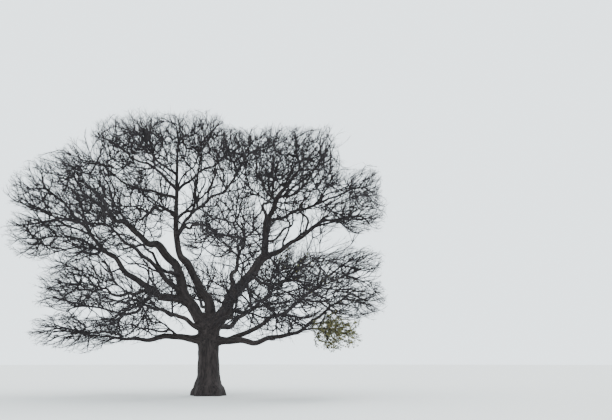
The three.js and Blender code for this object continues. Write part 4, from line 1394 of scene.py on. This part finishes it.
def trunk_tube():
    """The trunk as level rings, carried a little below the ground so that the cut there is flat."""
    rounding = np.sin(np.linspace(SHOULDER_START, math.pi / 2, SHOULDER_RINGS))
    heights = np.concatenate((
        (-GROUND_ALLOWANCE,), np.linspace(0, FORK_SHOULDER, TRUNK_RINGS),
        FORK_SHOULDER + (TRUNK_HEIGHT - FORK_SHOULDER) * rounding))
    around = np.arange(TRUNK_SIDES) * 2 * math.pi / TRUNK_SIDES
    rings = []
    for height in heights:
        radius = trunk_radius(height, around)
        centre = trunk_centre(height)
        level = np.full(TRUNK_SIDES, height)
        rings.append(np.stack(
            (centre[0] + radius * np.cos(around), centre[1] + radius * np.sin(around), level), axis=1))
    low = np.arange(len(heights) - 1)[:, None] * TRUNK_SIDES
    high = low + TRUNK_SIDES
    column = np.arange(TRUNK_SIDES)
    following = (column + 1) % TRUNK_SIDES
    quads = np.stack((low + column, low + following, high + following, high + column), axis=2)
    bottom = column[::-1][None, :]
    top = (column + (len(heights) - 1) * TRUNK_SIDES)[None, :]
    return mesh_of("trunk_tube", np.concatenate(rings), (quads.reshape(-1, 4), bottom, top))


def skin_end(limb):
    """How far along a bough the thick skin reaches, or 0 where it is too thin for one."""
    thick = [t for t in np.linspace(0, 1, SKIN_TESTS) if limb.radius_at(t) > SKIN_RADIUS]
    reach = thick[-1] if thick else 0
    return reach if reach * limb.total > limb.sunk + 2 * SKIN_OVERLAP else 0


def limb_line(limb, start, end, step):
    """The places and radii along a stretch of a limb."""
    count = max(4, int((end - start) * limb.total / step))
    shares = np.linspace(start, end, count + 1)
    places = np.array([limb.point_at(t) for t in shares])
    return places, np.array([limb.radius_at(t) for t in shares])


def skin_lines():
    """The thick stretch of each bough. Its end dives into the thinner limb that carries on."""
    lines = []
    for limb in list(LIMBS.values())[1:]:
        end = skin_end(limb)
        if end == 0:
            continue
        places, radii = limb_line(limb, 0, end, SKIN_STEP)
        left = (1 - np.linspace(0, 1, len(radii))) * end * limb.total
        radii *= np.clip(DIVE + (1 - DIVE) * left / (DIVE_LENGTH * SKIN_OVERLAP), DIVE, 1)
        lines.append((places, radii))
    return lines


def thin_lines():
    """The rest of each bough, up to its tip."""
    lines = []
    for limb in list(LIMBS.values())[1:]:
        start = max(0, skin_end(limb) - SKIN_OVERLAP / limb.total)
        lines.append(limb_line(limb, start, 1, THIN_STEP))
    return lines


def middle_samples():
    """Places down the middle of every limb, for the bark's grain: each with the directions along and
    across the limb, how far along it lies, and the limb's girth and number."""
    samples = []
    for number, limb in enumerate(LIMBS.values()):
        trunk = limb.name == "trunk"
        first = 0 if trunk else GRAIN_ROOT * limb.sunk / limb.total
        shares = np.linspace(first, 1, max(4, int(limb.total / GRAIN_STEP)))
        places = np.array([limb.point_at(t) for t in shares])
        ahead = unit(np.gradient(places, axis=0))
        across = np.tile((1.0, 0.0, 0.0), (len(places), 1)) if trunk else unit(np.cross(ahead, UP))
        travelled = shares * limb.total + GRAIN_SHIFT * number
        girths = [limb.radius_at(t) for t in shares]
        samples += zip(places, ahead, across, travelled, girths, [number] * len(places))
    return samples


def add_grain(mesh, samples):
    """Gives a mesh its grain: where each point would lie if its limb were straight. Its relief says
    how deep the bark's hollows are there, and fades where two limbs meet and their grains differ."""
    tree = kdtree.KDTree(len(samples))
    for i, sample in enumerate(samples):
        tree.insert(Vector(sample[0]), i)
    tree.balance()
    points = points_of(mesh)
    numbers = [sample[5] for sample in samples]
    nearest = []
    fades = []
    for point in points:
        found = tree.find_n(Vector(point), GRAIN_NEIGHBOURS)
        own = numbers[found[0][1]]
        others = [away for _, index, away in found if numbers[index] != own]
        nearest.append(found[0][1])
        fades.append(min(1, (others[0] - found[0][2]) / GRAIN_FADE) if others else 1)
    centres, ahead, across, travelled, girths, _ = (np.array(column)[nearest] for column in zip(*samples))
    offsets = points - centres
    x = (offsets * across).sum(axis=1)
    y = (offsets * np.cross(ahead, across)).sum(axis=1)
    z = (offsets * ahead).sum(axis=1) + travelled
    add_attribute(mesh, "grain", np.stack((x, y, z), axis=1))
    add_attribute(mesh, "relief", fades)
    add_attribute(mesh, "girth", girths)


def relief_tree():
    """Geometry Nodes that push the skin in and out along its grain: long flutes, as deep as the
    limb is thick, and wrinkles of one depth all over."""
    tree, given = new_tree("Bark relief", {"Flutes": "Float", "Wrinkles": "Float"})
    grain = add_node(
        tree, "GeometryNodeInputNamedAttribute", {"Name": "grain"}, data_type="FLOAT_VECTOR")
    girth, relief = (
        add_node(tree, "GeometryNodeInputNamedAttribute", {"Name": name}, data_type="FLOAT").outputs[0]
        for name in ("girth", "relief"))
    heights = []
    for scale, draw, detail in ((FLUTES, FLUTE_DRAW, 2), (WRINKLES, WRINKLE_DRAW, 3)):
        drawn = add_node(
            tree, "ShaderNodeVectorMath", {0: grain.outputs[0], 1: (1, 1, draw)}, operation="MULTIPLY")
        noise = add_node(
            tree, "ShaderNodeTexNoise", {"Vector": drawn.outputs[0], "Scale": scale, "Detail": detail})
        height = add_node(tree, "ShaderNodeMath", {0: noise.outputs[0], 1: 0.5}, operation="SUBTRACT")
        heights.append(height.outputs[0])
    flutes = given["Flutes"]
    for factor in (girth, heights[0], FLUTE_GAIN):
        flutes = add_node(
            tree, "ShaderNodeMath", {0: flutes, 1: factor}, operation="MULTIPLY").outputs[0]
    both = add_node(
        tree, "ShaderNodeMath", {0: heights[1], 1: given["Wrinkles"], 2: flutes},
        operation="MULTIPLY_ADD")
    push = add_node(tree, "ShaderNodeMath", {0: both.outputs[0], 1: relief}, operation="MULTIPLY")
    normal = add_node(tree, "GeometryNodeInputNormal")
    offset = add_node(
        tree, "ShaderNodeVectorMath", {0: normal.outputs[0], "Scale": push.outputs[0]},
        operation="SCALE")
    moved = add_node(
        tree, "GeometryNodeSetPosition", {"Geometry": given["Geometry"], "Offset": offset.outputs[0]})
    end_tree(tree, moved.outputs[0], given["Material"])
    return tree


class HACKBERRY_OT_limbs(bpy.types.Operator):
    """Covers the trunk and boughs with bark."""

    bl_idname = "hackberry.limbs"
    bl_label = "Trunk and Boughs"

    def execute(self, context):
        settings = context.scene.hackberry_bark
        old = limb_bark(
            "Weathered hackberry bark", settings.old, settings.furrow_and_shade, OLD_FURROW_DEPTH)
        young = limb_bark(
            "Young hackberry bark", settings.young, settings.furrow_and_shade, YOUNG_FURROW_DEPTH)

        # The voxel remesh melts the thick limbs together, so that the fork has no seams
        skin = round_limbs("bark_thick_limbs", skin_lines(), SKIN_SIDES, old)
        trunk = new_object("trunk_tube", trunk_tube())
        with context.temp_override(
                active_object=skin, object=skin, selected_editable_objects=[skin, trunk]):
            bpy.ops.object.join()
        remesh = skin.modifiers.new("Melt", "REMESH")
        remesh.mode = "VOXEL"
        remesh.voxel_size = settings.cell
        smooth = skin.modifiers.new("Round", "SMOOTH")
        smooth.factor = 0.5
        smooth.iterations = SKIN_SMOOTHING
        bake(skin)
        skin.data.polygons.foreach_set("use_smooth", np.ones(len(skin.data.polygons), bool))

        thin = round_limbs("bark_thin_boughs", thin_lines(), THIN_SIDES, young)
        samples = middle_samples()
        relief = relief_tree()
        for piece, bark in ((skin, old), (thin, young)):
            add_grain(piece.data, samples)
            run_tree(piece, relief, {
                "Flutes": settings.flutes, "Wrinkles": settings.wrinkles, "Material": bark})
            keep_above_ground(piece.data)

        boughs = [LIMBS[bough.name] for bough in BOUGHS if not bough.joined]
        thick_nodes = [f"bough_{limb.name}" for limb in boughs if skin_end(limb)]
        thin_nodes = [f"bough_{limb.name}" for limb in boughs if not skin_end(limb)]
        finish_piece(skin, "trunk_bark", "trunk", *thick_nodes)
        finish_piece(thin, "bough_bark", *thin_nodes)
        return {"FINISHED"}


# Corky warts on the bark


def wart_tree():
    """Geometry Nodes that scatter low corky warts over the skin."""
    tree, given = new_tree("Bark warts", {"Warts": "Float", "Size": "Float", "Seed": "Int"})
    spots = add_node(
        tree, "GeometryNodeDistributePointsOnFaces",
        {"Mesh": given["Geometry"], "Density": given["Warts"], "Seed": given["Seed"]})
    wart = add_node(tree, "GeometryNodeMeshIcoSphere", {"Radius": given["Size"], "Subdivisions": 1})
    size = add_node(
        tree, "FunctionNodeRandomValue",
        {"Min": WART_SMALLEST, "Max": WART_LARGEST, "Seed": given["Seed"]},
        data_type="FLOAT_VECTOR")
    placed = add_node(
        tree, "GeometryNodeInstanceOnPoints",
        {"Points": spots.outputs["Points"], "Instance": wart.outputs[0],
         "Rotation": spots.outputs["Rotation"], "Scale": size.outputs[0]})
    end_tree(tree, placed.outputs[0], given["Material"])
    return tree


class HACKBERRY_OT_warts(bpy.types.Operator):
    """Scatters corky warts over the bark of the thick limbs."""

    bl_idname = "hackberry.warts"
    bl_label = "Warts"

    def execute(self, context):
        settings = context.scene.hackberry_bark
        piece = new_object("bark_warts", bpy.data.objects["bark_thick_limbs"].data.copy())
        run_tree(piece, wart_tree(), {
            "Warts": settings.warts, "Size": settings.wart_size, "Seed": WART_SEED,
            "Material": twig_bark("Corky warts", settings.old, settings.furrow_and_shade)})
        keep_above_ground(piece.data)
        finish_piece(piece, "trunk_bark")
        return {"FINISHED"}


# The masses of twigs, and the side boughs between them. Their skeletons are kept for the leaves

SKELETONS = {}


def split_by_girth(lines):
    """The thick stretches of lines, and the thin stretches that carry on from their ends."""
    branches, twigs = [], []
    for places, radii in lines:
        thick = int((radii > BRANCH_RADIUS).sum())
        if thick < 2:
            twigs.append((places, radii))
            continue
        branches.append((places[:thick + 1], radii[:thick + 1]))
        if thick + 1 < len(places):
            twigs.append((places[thick:], radii[thick:]))
    return branches, twigs


def mass_lines(bough, skeleton, thinnest):
    """A mass's twigs, each as thick as the number of tips that it carries asks for."""
    tips = tips_carried(skeleton.parents)
    skeleton.places[0] = skeleton.places[0] - skeleton.aheads[0] * STEM_OVERLAP
    radii = thinnest * np.array(tips, float) ** TWIG_POWER
    return twig_lines(skeleton, np.minimum(radii, bough.end), tips)


def side_lines(skeleton, thinnest):
    """The side boughs and their twigs. None is thicker at its root than its bough allows."""
    tips = tips_carried(skeleton.parents)
    starts, spans, girths = ALL_SEGMENTS
    tree = kdtree.KDTree(len(starts))
    for i, middle in enumerate(starts + spans / 2):
        tree.insert(Vector(middle), i)
    tree.balance()
    limits = np.zeros(len(tips))
    for index in order_from_roots(skeleton.parents):
        parent = skeleton.parents[index]
        if parent < 0:
            limits[index] = SIDE_GIRTH * girths[tree.find(Vector(skeleton.places[index]))[1]]
        else:
            limits[index] = limits[parent]
    radii = thinnest * np.array(tips, float) ** SIDE_POWER
    return twig_lines(skeleton, np.minimum(radii, limits), tips)


class HACKBERRY_OT_twigs(bpy.types.Operator):
    """Grows every mass of twigs, joined into one piece for each part of the crown."""

    bl_idname = "hackberry.twigs"
    bl_label = "Twigs"

    def execute(self, context):
        settings = context.scene.hackberry_twigs
        bark = twig_bark("Hackberry branch bark", settings.colour, settings.shade)
        fine = fine_twig("Hackberry twigs", settings.fine)
        cell = settings.cell * 1
        branches = []
        for piece_name, masses in TWIG_PIECES.items():
            lines = []
            for index, bough in enumerate(BOUGHS):
                if bough.name not in masses:
                    continue
                skeleton = grow_mass(index, bough, cell)
                SKELETONS[bough.name] = skeleton
                thick, thin = split_by_girth(mass_lines(bough, skeleton, settings.thinnest))
                branches += thick
                lines += thin
            piece = round_limbs(piece_name, lines, TWIG_SIDES, fine)
            nodes = [f"twigs_{name}" for name in masses]
            finish_piece(piece, "leafy_twigs" if LEAFY in masses else "twigs", *nodes)
        piece = round_limbs("twig_branches", branches, BRANCH_SIDES, bark)
        finish_piece(piece, "twigs")
        return {"FINISHED"}


class HACKBERRY_OT_side_boughs(bpy.types.Operator):
    """Grows side boughs and their twigs from the boughs, between the masses."""

    bl_idname = "hackberry.side_boughs"
    bl_label = "Side Boughs"

    def execute(self, context):
        settings = context.scene.hackberry_twigs
        skeleton = grow_side_boughs(1)
        branches, twigs = split_by_girth(side_lines(skeleton, settings.thinnest))
        bark = bpy.data.materials["Hackberry branch bark"]
        fine = bpy.data.materials["Hackberry twigs"]
        finish_piece(round_limbs("side_boughs", branches, BRANCH_SIDES, bark), "bough_bark")
        twigs.sort(key=lambda line: line[0][0][0])
        for number, name in enumerate(SIDE_PIECES):
            low, high = (len(twigs) * (number + i) // len(SIDE_PIECES) for i in (0, 1))
            finish_piece(round_limbs(name, twigs[low:high], TWIG_SIDES, fine), "twigs")
        return {"FINISHED"}


# The last leaves


def leaf_blade(length, width):
    """A pointed oval blade, folded a little along its midrib and closed underneath."""
    thickness = LEAF_THICKNESS * length
    points = [(0, 0, 0)]
    for along, broad in LEAF_STATIONS:
        x = along * length
        half = broad * width / 2
        sag = LEAF_SAG * length * along ** 2
        edge = LEAF_FOLD * half - sag
        points += [(x, half, edge), (x, 0, thickness - sag), (x, -half, edge), (x, 0, -thickness - sag)]
    points.append((length, 0, -LEAF_SAG * length))
    faces = [(0, 1 + (i + 1) % 4, 1 + i) for i in range(4)]
    for row in range(len(LEAF_STATIONS) - 1):
        low = 1 + 4 * row
        faces += [(low + i, low + (i + 1) % 4, low + 4 + (i + 1) % 4, low + 4 + i) for i in range(4)]
    low = 1 + 4 * (len(LEAF_STATIONS) - 1)
    faces += [(low + i, low + (i + 1) % 4, low + 4) for i in range(4)]
    mesh = bpy.data.meshes.new("leaf_blade")
    mesh.from_pydata(points, [], faces)
    mesh.update()
    return mesh


def leaf_tree():
    """Geometry Nodes that set a leaf blade on each point, turned and sized as the point says."""
    tree, given = new_tree("Leaves", {"Blade": "Object", "Size": "Float"})
    turn = add_node(
        tree, "GeometryNodeInputNamedAttribute", {"Name": "turn"}, data_type="FLOAT_VECTOR")
    rotation = add_node(tree, "FunctionNodeEulerToRotation", {0: turn.outputs[0]})
    own_size = add_node(tree, "GeometryNodeInputNamedAttribute", {"Name": "size"}, data_type="FLOAT")
    size = add_node(
        tree, "ShaderNodeMath", {0: given["Size"], 1: own_size.outputs[0]}, operation="MULTIPLY")
    blade = add_node(tree, "GeometryNodeObjectInfo", {"Object": given["Blade"]})
    placed = add_node(
        tree, "GeometryNodeInstanceOnPoints",
        {"Points": given["Geometry"], "Instance": blade.outputs["Geometry"],
         "Rotation": rotation.outputs[0], "Scale": size.outputs[0]})
    end_tree(tree, placed.outputs[0], given["Material"])
    return tree


def leaf_places(settings):
    """Where leaves hang: thickly on the leafy mass, and here and there on its neighbours."""
    random = seeded_random(LEAF_SEED)
    specks = settings.specks // len(SPECKLED)
    places = []
    for name, wanted in [(LEAFY, settings.count)] + [(name, specks) for name in SPECKLED]:
        skeleton = SKELETONS[name]
        for _ in range(wanted):
            index = 2 + int(random() * (len(skeleton.places) - 2))
            start = skeleton.places[skeleton.parents[index]]
            place = start + (skeleton.places[index] - start) * random()
            heading = math.atan2(*skeleton.aheads[index][1::-1])
            heading += LEAF_ASIDE if random() < 0.5 else -LEAF_ASIDE
            turn = (
                LEAF_ROLL * (random() - 0.5),
                LEAF_DROOP * random() - LEAF_LIFT,
                heading + LEAF_SWING * (random() - 0.5))
            places.append((place, turn, LEAF_SMALLEST + LEAF_SPREAD * random(), random()))
    return places


class HACKBERRY_OT_leaves(bpy.types.Operator):
    """Hangs the last leaves on the lowest right-hand twigs."""

    bl_idname = "hackberry.leaves"
    bl_label = "Last Leaves"

    def execute(self, context):
        settings = context.scene.hackberry_leaves
        places = leaf_places(settings)
        blade = new_object("leaf_blade", leaf_blade(settings.length, settings.width))
        tree = leaf_tree()
        for number, tint in enumerate(LEAF_TINTS):
            low, high = LEAF_SHARES[number:number + 2]
            chosen = [row for row in places if low <= row[3] < high]
            name = f"leaves_{tint}"
            mesh = bpy.data.meshes.new(name)
            mesh.from_pydata([row[0] for row in chosen], [], [])
            add_attribute(mesh, "turn", [row[1] for row in chosen])
            add_attribute(mesh, "size", [row[2] for row in chosen])
            material = dry_leaf(f"Dry hackberry leaf, {tint}", getattr(settings, tint))
            piece = run_tree(
                new_object(name, mesh), tree, {"Blade": blade, "Size": 1.0, "Material": material})
            finish_piece(piece, "leafy_twigs")
        bpy.data.objects.remove(blade)
        return {"FINISHED"}


# The stage


class HACKBERRY_OT_stage(bpy.types.Operator):
    """Lays the floor and sets up the light and the camera."""

    bl_idname = "hackberry.stage"
    bl_label = "Stage"

    def execute(self, context):
        settings = context.scene.hackberry_stage
        around = np.arange(FLOOR_SIDES) * 2 * math.pi / FLOOR_SIDES
        rim = np.stack((np.cos(around), np.sin(around), 0 * around), axis=1) * FLOOR_RADIUS
        floor = new_object("floor", mesh_of("floor", rim, (np.arange(FLOOR_SIDES)[None, :],)))
        material, _, shader = new_material("Matt floor")
        shader.inputs["Base Color"].default_value = (*settings.floor, 1)
        shader.inputs["Roughness"].default_value = 1
        floor.data.materials.append(material)

        world = bpy.data.worlds.new("Surround")
        world.use_nodes = True
        background = world.node_tree.nodes["Background"]
        background.inputs["Color"].default_value = (*settings.colour, 1)
        background.inputs["Strength"].default_value = settings.surround
        context.scene.world = world

        sun = bpy.data.lights.new("key", "SUN")
        sun.energy = settings.key
        sun.angle = math.radians(KEY_WIDTH)
        key = new_object("key", sun)
        key.rotation_euler = [math.radians(angle) for angle in KEY_TURN]

        lens = bpy.data.cameras.new("viewer")
        lens.lens = VIEWER_LENS
        lens.sensor_width = VIEWER_SENSOR
        lens.clip_end = SIGHT
        camera = new_object("viewer", lens)
        camera.location = VIEWER
        camera.rotation_euler = (math.pi / 2 + VIEWER_RISE, 0, 0)
        context.scene.camera = camera
        return {"FINISHED"}


class HACKBERRY_PT_panel(bpy.types.Panel):
    """The tree's settings and its pieces."""

    bl_idname = "HACKBERRY_PT_panel"
    bl_label = "Winter Hackberry"
    bl_space_type = "VIEW_3D"
    bl_region_type = "UI"
    bl_category = "Hackberry"

    def draw(self, context):
        for group, operators in PANEL_ROWS.items():
            box = self.layout.box()
            settings = getattr(context.scene, group)
            for name in type(settings).__annotations__:
                box.prop(settings, name)
            for operator in operators:
                box.operator(operator)


PANEL_ROWS = {
    "hackberry_stage": ("hackberry.stage",),
    "hackberry_bark": ("hackberry.limbs", "hackberry.warts"),
    "hackberry_twigs": ("hackberry.twigs", "hackberry.side_boughs"),
    "hackberry_leaves": ("hackberry.leaves",),
}
SETTINGS = {
    "hackberry_stage": HackberryStage,
    "hackberry_bark": HackberryBark,
    "hackberry_twigs": HackberryTwigs,
    "hackberry_leaves": HackberryLeaves,
}
CLASSES = (
    *SETTINGS.values(),
    HACKBERRY_OT_stage,
    HACKBERRY_OT_limbs,
    HACKBERRY_OT_warts,
    HACKBERRY_OT_twigs,
    HACKBERRY_OT_side_boughs,
    HACKBERRY_OT_leaves,
    HACKBERRY_PT_panel,
)


def register():
    """Registers the classes and hangs the settings on the scene."""
    for cls in CLASSES:
        bpy.utils.register_class(cls)
    for name, settings in SETTINGS.items():
        setattr(bpy.types.Scene, name, PointerProperty(type=settings))


def unregister():
    """Takes away the settings and the classes."""
    for name in SETTINGS:
        delattr(bpy.types.Scene, name)
    for cls in reversed(CLASSES):
        bpy.utils.unregister_class(cls)


def main():
    """Makes the stage and every piece."""
    register()
    bpy.ops.hackberry.stage()
    bpy.ops.hackberry.limbs()
    bpy.ops.hackberry.warts()
    bpy.ops.hackberry.twigs()
    bpy.ops.hackberry.side_boughs()
    bpy.ops.hackberry.leaves()


if __name__ == "__main__":
    main()
